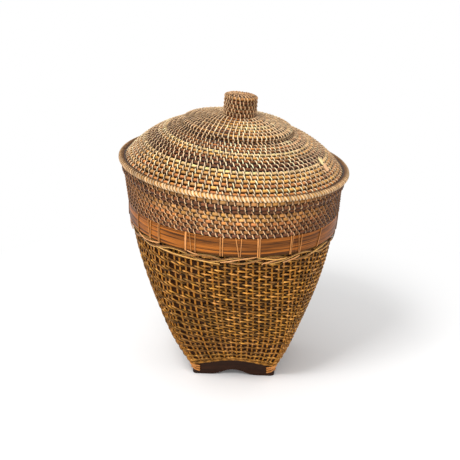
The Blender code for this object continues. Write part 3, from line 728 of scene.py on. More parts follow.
# The first rows of the tier and of the neck take the dark tone, for painted shadow under the crown's
# edge and under the skirt
TIER_TONES = ("dark", "brown", "orange", "brown", "bright", "gold", "brown", "dark", "dark",
              "bright", "gold", "gold", "orange", "gold", "orange")
CROWN_TONES = ("orange", "gold", "gold", "bright", "gold", "brown", "gold")
NECK_TONES = ("dark", "gold", "gold", "orange", "brown", "brown", "dark")
KNOB_TONES = ("dark", "brown", "brown", "dark")
CAP_TONES = ("brown", "gold", "brown")

NECK_STITCHES = 97
CAP_STITCHES = (7, 15, 23)
# How far the stitches of each tier row stand on from those above: slanting lines, then bricks
TIER_STAGGER = (0.25,) * 9 + (0.5,) * 6
# Half the height of the hoop's winding, and its middle from the profile's axis
WINDING_REACH = HOOP_TUBE - 0.001
WINDING_MIDDLE = HOOP_RADIUS + HOOP_TUBE - 0.0003 - COIL_SWELL
# Canes dark with painted shade under the hoop's winding and at the knob's foot: radius, height and
# half size
HOOP_BED = (HOOP_RADIUS - 0.0042, 0.0004, 0.0032)
KNOB_BED = (KNOB_RADIUS - 0.0012, KNOB_BOTTOM, 0.0022)
CROWN_EDGE = (CROWN_END[0] - 0.0026, CROWN_END[1] - 0.0004)
CROWN_EDGE_FOOT = (CROWN_EDGE[0] + 0.0006, CROWN_EDGE[1] - 0.0062)
CAP_FOOT = KNOB_TOP - CAP_THICKNESS


class BASKET_OT_lid_tier(bpy.types.Operator):
    """Coil the wide lower tier of the lid"""

    bl_idname = "basket.lid_tier"
    bl_label = "Lid tier"

    def execute(self, context):
        sizes, colours = context.scene.basket_sizes, context.scene.basket_colours
        strands = Strands(11)
        coil(strands, lid_place, (TIER_TOP, TIER_END, TIER_BULGE),
             row_tones(TIER_TONES, colours, 1, tier_light),
             growing(sizes.crown_stitches, sizes.rim_stitches, len(TIER_TONES)), sizes,
             stagger=TIER_STAGGER, stretch=1.15, slim=0.3)
        hold(strands.piece("lid_tier_coils", "coil_cane"), ["lid_tier"], "lid")
        return {"FINISHED"}


class BASKET_OT_lid_crown(bpy.types.Operator):
    """Coil the upper tier of the lid and its edge"""

    bl_idname = "basket.lid_crown"
    bl_label = "Lid crown"

    def execute(self, context):
        sizes, colours = context.scene.basket_sizes, context.scene.basket_colours
        strands = Strands(12)
        coil(strands, lid_place, (CROWN_TOP, CROWN_END, CROWN_BULGE),
             row_tones(CROWN_TONES, colours, 2, CROWN_LIGHT),
             growing(sizes.knob_stitches, sizes.crown_stitches, len(CROWN_TONES)), sizes,
             slant=0.08, stretch=1.2, stagger=0.14, slim=0.3)
        coil(strands, lid_place, (CROWN_EDGE, CROWN_EDGE_FOOT, 0),
             row_tones(("orange",), colours, 3, CROWN_LIGHT), [sizes.crown_stitches], sizes,
             thick=0.0058, shades=HOOP_SHADES, uneven=0.1)
        hold(strands.piece("lid_crown_coils", "coil_cane"), ["lid_crown"], "lid")
        return {"FINISHED"}


class BASKET_OT_lid_rim(bpy.types.Operator):
    """Wind the hoop of the lid and coil the skirt that hangs under it"""

    bl_idname = "basket.lid_rim"
    bl_label = "Lid rim"

    def execute(self, context):
        sizes, colours = context.scene.basket_sizes, context.scene.basket_colours
        strands = Strands(13)
        coil(strands, lid_place,
             ((WINDING_MIDDLE, WINDING_REACH), (WINDING_MIDDLE, -WINDING_REACH), 0),
             row_tones(("gold",), colours, 4, RIM_LIGHT, 0.95, 0.8), [2 * sizes.rim_stitches],
             sizes, slant=0.4, thick=2 * WINDING_REACH, stretch=1.0, gap=0.5, shades=HOOP_SHADES,
             threads=np.array(LONG_STITCH) * 0.76, uneven=0.07, pinched=0.97, broad=1.85)
        lay_bed(strands, *HOOP_BED, colours.brown)
        hold(strands.piece("lid_rim_winding", "coil_cane"), ["lid_rim_hoop"], "lid")
        strands = Strands(14)
        # Painted shade under the hoop, and the skirt's lower row in the dark tone as painted shadow
        # over the gap to the neck
        coil(strands, lid_place, (SKIRT_TOP, SKIRT_BOTTOM, 0),
             row_tones(("gold", "dark"), colours, 5, dimmed(*UNDER_RIM), 0.6, 0.7),
             [sizes.rim_stitches] * 2, sizes, slant=0.08, stretch=1.0, thick=0.006, fill=1.08,
             pinched=0.97, threads=DOTTED_STITCH)
        hold(strands.piece("lid_skirt_coils", "coil_cane"), ["lid_skirt"], "lid")
        return {"FINISHED"}


class BASKET_OT_knob(bpy.types.Operator):
    """Coil the knob and close it with a small spiral"""

    bl_idname = "basket.knob"
    bl_label = "Knob"

    def execute(self, context):
        sizes, colours = context.scene.basket_sizes, context.scene.basket_colours
        knob = sizes.knob_stitches
        strands = Strands(15)
        coil(strands, lid_place, ((KNOB_RADIUS, CAP_FOOT), (KNOB_RADIUS, KNOB_BOTTOM), 0),
             row_tones(KNOB_TONES, colours, 6, KNOB_LIGHT, 0.95, 0.48), [knob] * 4, sizes,
             slant=0.06, thick=0.006, gap=0.0, fill=0.94, pinched=0.75, threads=DOTTED_STITCH,
             broad=1.15)
        lay_bed(strands, *KNOB_BED, colours.brown)
        hold(strands.piece("knob_wall_coils", "coil_cane"), ["knob_wall"], "lid")
        strands = Strands(16)
        coil(strands, lid_place,
             ((KNOB_RADIUS - 0.0004, KNOB_TOP - 0.0014), (KNOB_RADIUS, CAP_FOOT), 0),
             row_tones(("gold",), colours, 7, CAP_LIGHT, 0.7, 0.5), [knob], sizes,
             shades=HOOP_SHADES, uneven=0.1)
        level = KNOB_TOP - COIL_SWELL
        coil(strands, lid_place,
             ((0.0008, level), (KNOB_RADIUS - CAP_SHOULDER + 0.0016, level), 0),
             row_tones(CAP_TONES, colours, 8, CAP_LIGHT, 0.7, 0.6), CAP_STITCHES, sizes,
             thick=0.005)
        hold(strands.piece("knob_cap_coils", "coil_cane"), ["knob_cap"], "lid")
        return {"FINISHED"}


class BASKET_OT_neck(bpy.types.Operator):
    """Coil the neck between the lid and the wooden band"""

    bl_idname = "basket.neck"
    bl_label = "Neck"

    def execute(self, context):
        sizes, colours = context.scene.basket_sizes, context.scene.basket_colours
        strands = Strands(17)
        # Painted shade under the hoop, and painted shadow of the skirt on the neck's first row
        coil(strands, neck_place, (NECK_TOP, NECK_BOTTOM, 0),
             row_tones(NECK_TONES, colours, 9, dimmed(*UNDER_RIM, first=0.6), 0.6, 0.7),
             [NECK_STITCHES] * len(NECK_TONES), sizes, slant=0.13, stretch=1.0, fill=1.1,
             pinched=0.97, threads=DOTTED_STITCH)
        hold(strands.piece("neck_coils", "coil_cane"), ["coiled_neck"], "basket")
        return {"FINISHED"}


# Woven wall

# A cane passes over two stakes of three, and has this many steps from stake to stake
OVER = 2
REPEAT = 3
STEPS = 5
BUNDLE_CANES = 3
# Share of the way up where the lowest bundle starts, what all cover, and how their height grows
LOWEST_BUNDLE = 0.012
BUNDLE_REACH = 0.982
BUNDLE_GROWTH = 1.5
# Painted light of a cane behind a stake and in front, and how much paler a painted highlight makes
# its upper ends
BEHIND_LIGHT = 0.15
FRONT_LIGHT = 0.82
STROKE_HIGHLIGHT = np.array((0.75, 0.95, 1.8))
# How far under the wall's top a cane is tucked behind the band, dark with the band's painted shadow
TUCKED_DROP = 0.0332


def passing(place):
    """How far in front a cane is, how far off its level, and how near its upper end.

    The place is counted in stakes. A cane passes over two stakes and under one, and falls to
    the right as it passes over.
    """
    run = place % REPEAT
    ahead = run < OVER
    share = np.where(ahead, run / OVER, run - OVER)
    lead = np.cos(math.pi * share)
    side = np.where(ahead, 1.0, -1.0)
    return side * np.sin(math.pi * share) ** 0.6, side * lead, np.where(ahead, lead, 0)


def bunched(share):
    """Where the canes of the wall lie in bundles: 1 on the left and the back, else 0."""
    left = smooth((share - 0.44) / 0.04) * smooth((0.728 - share) / 0.02)
    back = smooth((share - 0.15) / 0.04) * smooth((0.33 - share) / 0.04)
    return left + back


def lay_round(strands, share, rise, depth, radius, colour):
    """Lay one cane round the wall."""
    strands.add(wall_place(share, rise, depth), wall_out(share, rise), radius, radius * 0.92,
                colour, 6, True, groove=0.3, tilt=0.25)


def weave_bundle(strands, bundle, low, high, share, sizes, base, random):
    """Weave one bundle of canes between two heights: they close up where the wall is bunched."""
    stakes, angle = sizes.stakes, TAU * share
    centre = (low + high) / 2
    wind = 0.0014 * wander(angle, 300 + bundle, 6) + 0.0005 * wander(angle * 5, 400 + bundle, 7)
    bunch = bunched(share) * (0.62 + 0.25 * wander(angle, 500 + bundle, 14))
    close = np.maximum(bunch, 0.9 * smooth((0.3 - centre) / 0.14))
    for cane in range(BUNDLE_CANES):
        number = bundle * BUNDLE_CANES + cane
        even = low + (high - low) * (cane + 0.5) / BUNDLE_CANES
        tight = centre + 0.0007 * (cane - 1) / WALL_HEIGHT
        wave, off, lead = passing(share * stakes + 0.5 + OVER - cane)
        fall = off * (0.0008 + 0.0017 * bunch)
        stray = (0.0005 * wander(angle, 900 + number, 12)
                 + 0.0005 * random.normal(0, 1, stakes).repeat(STEPS))
        rise = even + (tight - even) * close + (fall + wind + stray) / WALL_HEIGHT
        drift = 1 + 0.2 * wander(angle, 700 + number, 9)
        colour = base * random.uniform(0.8, 1.2) * drift[:, None]
        colour = colour * np.array((1, random.uniform(0.94, 1.03), random.uniform(0.8, 1.2)))
        # Painted shade behind the stakes and on the bunched canes, painted shadow under the band, and
        # a painted highlight on each stroke's upper end
        light = BEHIND_LIGHT + (FRONT_LIGHT - BEHIND_LIGHT) * smooth((wave + 0.25) / 1.1)
        light = light * (0.9 + 0.3 * np.minimum(lead, 0)) * (1 - 0.38 * bunch)
        light = light * (1 - 0.6 * smooth((even - 0.91) / 0.06))
        shine = smooth((lead - 0.1) / 0.6)[:, None] * STROKE_HIGHLIGHT
        stroke = random.normal(1, 0.34, stakes).clip(0.4, 1.9).repeat(STEPS)
        lay_round(strands, share, np.clip(rise, 0.008, 0.998),
                  WALL_THICKNESS / 2 - 0.0002 - 0.0013 * wave, sizes.weaver_radius,
                  colour * light[:, None] * (1 + shine) * stroke[:, None])


class BASKET_OT_wall(bpy.types.Operator):
    """Weave the wall from upright stakes and rows of canes"""

    bl_idname = "basket.wall"
    bl_label = "Woven wall"

    def execute(self, context):
        sizes, colours = context.scene.basket_sizes, context.scene.basket_colours
        stakes, bundles = sizes.stakes, sizes.bundles
        base = np.array(colours.weave)
        middle = WALL_THICKNESS / 2
        random = np.random.default_rng(21)
        share = np.arange(stakes * STEPS) / (stakes * STEPS)
        edges = LOWEST_BUNDLE + BUNDLE_REACH * (
            BUNDLE_GROWTH ** (np.arange(bundles + 1) / bundles) - 1) / (BUNDLE_GROWTH - 1)
        weavers = [Strands(22), Strands(23), Strands(24)]
        for bundle, (low, high) in enumerate(zip(edges, edges[1:])):
            weave_bundle(weavers[bundle * len(weavers) // bundles], bundle, low, high, share, sizes,
                         base, random)
            # A flat splint inside each bundle, with painted shade on its outer face where the weave's
            # holes show it
            rise = np.full(share.size, np.clip((low + high) / 2, 0.01, 0.99))
            depth = WALL_THICKNESS - 0.0004 - 0.0004 * (bundle % 2)
            weavers[1].add(wall_place(share, rise, depth), wall_out(share, rise),
                           (high - low) * WALL_HEIGHT * 0.84, 0.0004, base * (1, 0.9, 0.8), 4,
                           True, shades=SPLINT_SHADES)
        for level in (0.003, 0.0115):
            rise = level + 0.0004 / WALL_HEIGHT * random.normal(0, 1, share.size)
            # Painted light and shade that change from stake to stake on the edge canes
            tone = (0.8 + 0.3 * np.sin((share * stakes + 0.5) * math.pi)
                    + 0.1 * random.normal(0, 1, share.size))
            lay_round(weavers[0], share, np.clip(rise, 0.001, 1), middle - 0.0008,
                      sizes.weaver_radius, base * tone[:, None])
        tucked = np.full(share.size, 1 - TUCKED_DROP / WALL_HEIGHT)
        # The tucked cane is dark as painted shadow of the band
        lay_round(weavers[2], share, tucked, -0.0012, 0.0015, base * 0.25)
        uprights = Strands(25)
        rise = np.linspace(0.006, 0.999, 40)
        centre = (np.arange(stakes) + 0.08 * random.normal(0, 1, stakes)) / stakes
        line = centre[:, None] + 0.0003 * random.normal(0, 1, (stakes, rise.size))
        tone = base * random.uniform(0.75, 1.15, (stakes, 1, 1)) * np.array((1.05, 0.96, 0.8))
        uprights.add(wall_place(line, rise, middle), wall_out(line, rise),
                     0.0015 + 0.0006 * rise ** 0.8, 0.0009, tone, groove=0.25)
        hold(weavers[0].piece("wall_canes_lower", "wall_cane"), ["woven_wall"], "basket")
        for thing in (weavers[1].piece("wall_canes_middle", "wall_cane"),
                      weavers[2].piece("wall_canes_upper", "wall_cane"),
                      uprights.piece("wall_stakes", "wall_cane")):
            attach(thing, "basket")
        return {"FINISHED"}


FLOOR_SPLINTS = 23
SPLINT_HALF = (0.0031, 0.0005)
SPLINT_LIFT = 0.0009


class BASKET_OT_floor(bpy.types.Operator):
    """Plait the floor from flat splints"""

    bl_idname = "basket.floor"
    bl_label = "Woven floor"

    def execute(self, context):
        base = np.array(context.scene.basket_colours.weave)
        random = np.random.default_rng(31)
        strands = Strands(32)
        lowest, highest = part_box("woven_floor")
        middle = (lowest + highest) / 2
        reach = (highest.x - lowest.x) / 2 - 0.003
        line = np.linspace(-1, 1, FLOOR_SPLINTS * 2 + 1) * reach
        ease = np.cos(math.pi * (np.arange(line.size) - 1) / 2)
        for turned in (0, 1):
            for number, place in enumerate(np.linspace(-reach, reach, FLOOR_SPLINTS) * 0.97):
                lift = SPLINT_LIFT * ease * (1 if (number + turned) % 2 else -1)
                side = np.full(line.size, place)
                x, y = (side, line) if turned else (line, side)
                strands.add(np.stack([x + middle.x, y + middle.y, lift + middle.z], -1),
                            (0, 0, 1.0), *SPLINT_HALF, base * 0.85 * random.uniform(0.8, 1.15),
                            groove=0.75)
        hold(strands.piece("floor_plait", "wall_cane"), ["woven_floor"], "basket")
        return {"FINISHED"}


# Wooden bands, drawn as a section and spun about the shoulder, or laid through sections

def spun_ring(name, outline, steps, matrix, sweep=TAU, start=0.0):
    """A section drawn as one face, spun about the upright axis and put in place."""
    deselect()
    bpy.ops.mesh.primitive_circle_add(vertices=len(outline), radius=0.01, fill_type="NGON",
                                      location=(0, 0, 0))
    thing = bpy.context.object
    thing.name = name
    turn = Matrix.Rotation(start, 3, "Z")
    for vertex, (radius, height) in zip(thing.data.vertices, outline):
        vertex.co = turn @ Vector((radius, 0, height))
    edit(thing)
    bpy.ops.mesh.spin(steps=steps, angle=sweep, center=(0, 0, 0), axis=(0, 0, 1))
    bpy.ops.mesh.select_all(action="SELECT")
    bpy.ops.mesh.remove_doubles(threshold=0.00002)
    bpy.ops.mesh.select_all(action="DESELECT")
    bpy.ops.mesh.select_interior_faces()
    bpy.ops.mesh.delete(type="FACE")
    bpy.ops.mesh.select_all(action="SELECT")
    bpy.ops.mesh.normals_make_consistent(inside=False)
    bpy.ops.object.mode_set(mode="OBJECT")
    bpy.ops.object.shade_smooth_by_angle(angle=math.radians(40))
    for vertex in thing.data.vertices:
        vertex.co = matrix @ vertex.co
    return thing


def loop_ring(name, rows):
    """A closed ring through sections of shape (sections, points, 3)."""
    sections, points = rows.shape[:2]
    index = np.arange(sections * points).reshape(sections, points)
    after = np.roll(index, -1, 0)
    faces = np.stack([index, np.roll(index, -1, 1), np.roll(after, -1, 1), after], -1)
    mesh = bpy.data.meshes.new(name)
    mesh.from_pydata(rows.reshape(-1, 3).tolist(), [], faces.reshape(-1, 4).tolist())
    thing = linked(name, mesh)
    edit(thing)
    bpy.ops.mesh.normals_make_consistent(inside=False)
    bpy.ops.object.mode_set(mode="OBJECT")
    soften(thing, 0.0005, 30, 40)
    return thing


def finish_ring(thing, matrix, material, node):
    """Let the grain run round a ring and its tone change slowly, and put it in its node's place."""
    inverse = matrix.inverted()
    local = np.array([tuple(inverse @ vertex.co) for vertex in thing.data.vertices])
    angle = np.arctan2(local[:, 1], local[:, 0])
    radius = np.hypot(local[:, 0], local[:, 1])
    tone = 1 + 0.12 * wander(angle, 41)
    paint(thing.data, np.repeat(tone[:, None], 3, 1) * 0.9,
          np.stack([angle * radius, local[:, 2], radius], 1))
    thing.data.materials.append(material)
    hold(thing, [node], "basket")


RING_STEPS = 120
# The band's worn edge, how far its foot draws in, and its joint
SOFT = 0.0006
DRAWN_IN = 0.001
JOINT_GAP = math.radians(0.2)
JOINT_START = math.radians(38 - 90) + JOINT_GAP / 2
# Depths inside the wall between which the inner band stands, and how far down it comes
INNER_NEAR = WALL_THICKNESS + 0.0006
INNER_FAR = WALL_THICKNESS + 0.0031
INNER_LOW = 1 - 0.024 / WALL_HEIGHT
COLLAR_RADIUS = NECK_TOP[0] - COIL_THICKNESS - 0.0003
COLLAR_DRAW = 0.0024
COLLAR_THICKNESS = 0.0035
COLLAR_TOP = -0.0056
COLLAR_BOTTOM = -0.0456


class BASKET_OT_bands(bpy.types.Operator):
    """Bend the wooden bands outside and inside the shoulder, and the collar in the mouth"""

    bl_idname = "basket.bands"
    bl_label = "Wooden bands"

    def execute(self, context):
        colours = context.scene.basket_colours
        wood = wood_material("band_wood", tuple(colours.band), 0.42, 300, 0.78)
        face, back = BAND_RADIUS, BAND_RADIUS - BAND_THICKNESS
        outline = [(face - SOFT, BAND_TOP), (face, BAND_TOP - SOFT),
                   (face + 0.0002, (BAND_TOP + BAND_BOTTOM) / 2),
                   (face - DRAWN_IN, BAND_BOTTOM + SOFT), (face - DRAWN_IN - SOFT, BAND_BOTTOM),
                   (back - DRAWN_IN, BAND_BOTTOM), (back, BAND_TOP)]
        band = spun_ring("bent_band", outline, 180, SHOULDER, TAU - JOINT_GAP, JOINT_START)
        finish_ring(band, SHOULDER, wood, "shoulder_band")

        share = np.arange(RING_STEPS) / RING_STEPS
        rows = [wall_place(share, rise, depth) for rise, depth in (
            (0.999, INNER_NEAR), (INNER_LOW, INNER_NEAR), (INNER_LOW, INNER_FAR), (0.999, INNER_FAR))]
        inner = loop_ring("inner_band_wood", np.stack(rows, 1))
        finish_ring(inner, SHOULDER, wood, "inner_band")

        low = COLLAR_RADIUS - COLLAR_DRAW
        outline = [(COLLAR_RADIUS, COLLAR_TOP), (COLLAR_RADIUS, NECK_TOP[1]), (low, COLLAR_BOTTOM),
                   (low - COLLAR_THICKNESS, COLLAR_BOTTOM),
                   (COLLAR_RADIUS - COLLAR_THICKNESS, COLLAR_TOP)]
        angle = TAU * np.arange(RING_STEPS) / RING_STEPS
        rows = [neck_place(angle, radius, height) for radius, height in outline]
        collar = loop_ring("mouth_collar_wood", np.stack(rows, 1))
        finish_ring(collar, MOUTH, wood_material("collar_wood", tuple(colours.gold), 0.5, 300, 0.3),
                    "mouth_collar")
        return {"FINISHED"}


# Lashings over the band: angle from the front, its foot's angle, width in mm and tone
BAND_STRIPS = (
    (-57, -56.4, 3.0, 0.9), (-46.6, -44.8, 2.0, 1.15), (-44.2, -44.2, 2.2, 1.2),
    (-38.3, -37.8, 2.2, 1.1), (-37.4, -37.0, 1.8, 0.8), (-20.8, -20.6, 4.6, 1.25),
    (-18.6, -17.4, 1.6, 0.95), (-15.6, -15.2, 2.2, 0.95), (-2.5, -2.1, 2.3, 1.0),
    (-1.2, -0.9, 2.3, 1.2), (5.3, 7.4, 1.9, 1.2), (8.3, 8.1, 1.9, 1.1), (16.6, 17.1, 2.7, 1.35),
    (17.6, 18.1, 2.5, 1.15), (35.1, 35.1, 2.4, 1.25), (36.2, 35.7, 1.8, 0.9),
    (39.7, 40.8, 1.8, 0.85), (42.0, 41.5, 2.0, 1.1), (57.2, 54.8, 2.6, 1.05),
    (86, 85.4, 2.4, 0.9), (87.6, 87, 2.2, 1.0), (107, 108, 2.4, 1.0), (109.5, 108.8, 1.8, 1.1),
    (128, 127.4, 3.0, 0.9), (149, 149.6, 2.4, 1.0), (150.8, 150.4, 2.2, 1.1),
    (170.6, 171.4, 1.8, 1.0), (173, 172, 1.8, 0.9), (192, 191.6, 2.6, 1.0), (193.8, 193.4, 2.0, 1.1),
    (213, 213.4, 3.2, 0.9), (234, 233.4, 2.4, 1.0), (236, 235.2, 2.2, 0.9), (255.4, 256.4, 1.8, 1.1),
    (258, 257.2, 2.0, 1.0), (278, 277.4, 3.0, 0.9),
)
BAND_LASHINGS = [f"band_lashing_{number:02d}" for number in range(1, 21)]
# The hook of a lashing under the band: how far in from its foot, and how far under the band
HOOK_IN = np.array((0.0006, 0.0025, 0.0042))
HOOK_UNDER = np.array((0.0009, 0.0012, 0.0011))


class BASKET_OT_lashings(bpy.types.Operator):
    """Bind the wooden band with strips of split cane, hooked under its lower edge"""

    bl_idname = "basket.lashings"
    bl_label = "Band lashings"

    def execute(self, context):
        base = np.array(context.scene.basket_colours.lashing)
        strands = Strands(51)
        share = np.linspace(0, 1, 9)
        radius = BAND_RADIUS + 0.0007 - 0.001 * share + 0.0004 * np.sin(math.pi * share)
        radius[0] -= 0.0009
        radius = np.concatenate([radius, radius[-1] - HOOK_IN])
        height = BAND_TOP + 0.0012 + (BAND_BOTTOM - BAND_TOP - 0.0016) * share
        height = np.concatenate([height, BAND_BOTTOM - HOOK_UNDER])
        for angle, foot, width, tone in BAND_STRIPS:
            top, bottom = math.radians(angle) + FRONT, math.radians(foot) + FRONT
            turn = np.concatenate([top + (bottom - top) * share, np.full(HOOK_IN.size, bottom)])
            path = shoulder_place(turn, radius, height)[None]
            across = unit(shoulder_place(turn + 0.01, radius, height)[None] - path)
            out = unit(np.cross(across, along_path(path, False)))
            outward = shoulder_place(turn, radius + 0.01, height)[None] - path
            out = out * np.sign((out * outward).sum(-1))[:, :1, None]
            strands.add(path, out, width / 2000, 0.0009, base * tone * 1.1, 8, across=across,
                        corner=0, shades=FLAT_SHADES)
        hold(strands.piece("band_strips", "lashing_cane"), BAND_LASHINGS, "basket")
        return {"FINISHED"}


YELLOW, PINK = srgb(214, 160, 84), srgb(212, 150, 92)

# Loose canes under the band: colour, then angles from the front with millimetres below the band
LOOSE_ENDS = (
    (YELLOW, ((-40, 12), (-29, 13), (-20, 14), (-11, 15), (-2.5, 17.5))),
    (PINK, ((-2.2, 14), (2, 11), (6, 7.5), (10, 5), (17, 2))),
    (YELLOW, ((17, 3), (22, 6), (29, 9), (34, 8))),
    (PINK, ((31.5, 16), (36.5, 12), (42, 8))),
    (PINK, ((-21, 0.5), (-17, 3.5), (-14, 5))),
    (PINK, ((-58, 5), (-50, 8), (-44, 6), (-38, 3))),
    (PINK, ((19.5, 17), (20, 14), (26, 10), (31, 8))),
    (YELLOW, ((48, 12), (56, 7), (66, 4))),
    (YELLOW, ((100, 14), (115, 8), (128, 3))),
    (PINK, ((150, 3), (162, 8), (176, 15))),
    (YELLOW, ((205, 14), (222, 9), (236, 3))),
    (PINK, ((262, 3), (275, 8), (288, 15))),
)
# The crossing strands: waves round the wall, and shares of its height that they take
CROSSINGS = 10
FIRST_CROSSING = math.radians(268)
CROSSING_LEVEL = 1 - 0.0405 / WALL_HEIGHT
SWING = 0.0052 / WALL_HEIGHT
SPREAD = 0.0022 / WALL_HEIGHT


class BASKET_OT_crossed_strands(bpy.types.Operator):
    """Lay the two long crossing strands round the wall under the band, with their cut ends"""

    bl_idname = "basket.crossed_strands"
    bl_label = "Crossed strands"

    def execute(self, context):
        colours = context.scene.basket_colours
        strands = Strands(61)
        share = np.arange(400) / 400
        angle = TAU * share
        phase = CROSSINGS * (angle - FIRST_CROSSING) + 0.25 * wander(angle, 62, 5)
        for number, sign in enumerate((1, -1)):
            for part in (0, 1):
                rise = CROSSING_LEVEL + sign * SWING * np.sin(phase) + (part - 0.5) * SPREAD * (
                    1 + 0.8 * wander(angle, 63 + part + number, 7))
                proud = 0.0024 + sign * 0.0013 * np.cos(phase) + 0.0004 * part
                # Painted shadow: the second part of each strand is darker, and tilt paints shade on
                # the strands' lower sides
                tone = np.array(YELLOW if part == number else colours.lashing) * (0.88 - 0.5 * part)
                drift = 1 + 0.28 * wander(angle, 66 + 2 * number + part, 9)
                strands.add(wall_place(share, rise, -proud), wall_out(share, rise), 0.001, 0.0009,
                            tone * drift[:, None], 6, True, groove=0.02, tilt=0.5)
        for tone, places in LOOSE_ENDS:
            angle, drop = np.array(places).T
            knots = np.arange(len(places))
            steps = np.linspace(0, knots[-1], 16)
            run = (np.interp(steps, knots, angle) - 90) / 360 % 1
            rise = 1 - (0.031 + np.interp(steps, knots, drop) / 1000) / WALL_HEIGHT
            proud = 0.0034 + 0.0016 * np.sin(math.pi * steps / steps[-1])
            strands.add(wall_place(run, rise, -proud), wall_out(run, rise), 0.0012, 0.0009, tone,
                        groove=0.35, tilt=0.25)
        hold(strands.piece("crossing_canes", "lashing_cane"),
             ["crossed_strand_1", "crossed_strand_2"], "basket")
        return {"FINISHED"}


class BASKET_OT_foot(bpy.types.Operator):
    """Cut and round the four foot boards"""

    bl_idname = "basket.foot"
    bl_label = "Foot boards"

    def execute(self, context):
        colours = context.scene.basket_colours
        wood = wood_material("board_wood", tuple(colours.board), 0.5, 420, 0.4, 0.3)
        for side, grain in (("front", (0, 2, 1)), ("back", (0, 2, 1)), ("left", (1, 2, 0)),
                            ("right", (1, 2, 0))):
            node = "base_board_" + side
            board = linked("foot_board_" + side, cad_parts[node].data.copy())
            board.data.materials.clear()
            edit(board)
            bpy.ops.mesh.remove_doubles(threshold=0.00001)
            bpy.ops.mesh.tris_convert_to_quads()
            bpy.ops.object.mode_set(mode="OBJECT")
            soften(board, 0.0009, 50, 35)
            points = np.array([tuple(vertex.co) for vertex in board.data.vertices])
            tone = 0.9 + 0.25 * np.clip(1 - points[:, 2] / 0.004, 0, 1)
            paint(board.data, np.repeat(tone[:, None], 3, 1), points[:, grain])
            board.data.materials.append(wood)
            hold(board, [node], "basket")
        return {"FINISHED"}


CORNER_CANE = np.array(srgb(216, 140, 66))


class BASKET_OT_corners(bpy.types.Operator):
    """Bind each corner of the foot with three strips that fall away from it"""

    bl_idname = "basket.corners"
    bl_label = "Corner lashings"

    def execute(self, context):
        run = np.linspace(-1, 1, 15)
        for quarter, name in enumerate(("back_right", "back_left", "front_left", "front_right")):
            strands = Strands(71 + quarter)
            middle = 1 / 8 + quarter / 4
            edge = wall_point(middle, 0.0)[2]
            for strip in range(3):
                level = edge + 0.0012 - 0.0042 * strip - 0.0062 * np.abs(run) ** 1.2
                path = np.array([corner_point(place, height, 0.0012 + 0.0002 * strip)
                                 for place, height in zip(middle + run * 0.037, level)])
                outward = unit((path - np.array((FOOT_SHIFT, 0, 0))) * np.array((1, 1, 0)))
                strands.add(path, outward, 0.0019, 0.0007, CORNER_CANE * (1.0 - 0.1 * strip), 8,
                            groove=0.3)
            hold(strands.piece("corner_strips_" + name, "lashing_cane"),
                 ["corner_lashing_" + name], "basket")
        return {"FINISHED"}


def wall_point(share, rise, depth=0.0):
    """One point of the wall."""
    return wall_place(np.array([share]), np.array([rise]), depth)[0]


def corner_point(share, height, proud):
    """A point proud of the board, or of the wall above the wall's lower edge."""
    edge = wall_point(share, 0.0)[2]
    if height > edge:
        return wall_point(share, (height - edge) / WALL_HEIGHT, -proud)
    lower = wall_point(share, 0.0, WALL_THICKNESS - proud)
    outer = wall_point(share, 0.0, -proud)
    point = outer + (lower - outer) * min(max((edge - height) / 0.006, 0), 1)
    point[2] = height
    return point


STRAW, BLUSH = srgb(240, 218, 160), srgb(240, 190, 142)
SPLICE_ANGLE = math.radians(68 - 90)
# Mending strips: angle from the splice's, width in mm, shares of the tier between ends and colour
SPLICE_STRIPS = (
    (-0.028, 3.8, 0.565, 0.665, STRAW), (-0.006, 4.0, 0.545, 0.68, STRAW),
    (0.018, 3.2, 0.575, 0.64, STRAW), (-0.02, 3.8, 0.675, 0.78, BLUSH),
    (0.004, 4.0, 0.655, 0.79, BLUSH), (0.028, 3.8, 0.665, 0.78, BLUSH),
)


class BASKET_OT_splice(bpy.types.Operator):
    """Lay the pale mending strips over a few rows of the lid"""

    bl_idname = "basket.splice"
    bl_label = "Lid splice"

    def execute(self, context):
        strands = Strands(81)
        for offset, width, begin, end, tone in SPLICE_STRIPS:
            steps = np.linspace(begin, end, 8)
            turn = SPLICE_ANGLE + offset - 0.02 * (steps - 0.72) / 0.1
            rows = np.array([arched(TIER_TOP, TIER_END, TIER_BULGE, share) for share in steps])
            point, outward = rows[:, 0], rows[:, 2]
            path = lid_place(turn, *(point + outward * (COIL_SWELL + 0.003)).T)
            out = unit(lid_place(turn, *(point + outward * 0.01).T) - path)
            strands.add(path, out, width / 2000, 0.0006, tone, groove=0.7)
        hold(strands.piece("splice_strips", "lashing_cane"), ["lid_splice"], "lid")
        return {"FINISHED"}


# Stage

# Lamps: name, place, what they point at, size and power
LAMPS = (
    ("key", (-0.65, -1.08, 2.04), (0, 0, 0.15), 0.7, 29),
    ("fill", (0.3, -2.4, 0.8), (0, 0, 0.25), 1.2, 14),
)
AMBIENT = 0.8
# The picture's side, the focal length and the sideways shift, in pixels
FRAME = 460
FOCAL = 1074.4
SHIFT = -6.2
SENSOR = 36
CAMERA_AWAY = 1.8
CAMERA_HEIGHT = 0.9329
CAMERA_TURN = math.radians(4.274)
CAMERA_PITCH = 0.3617


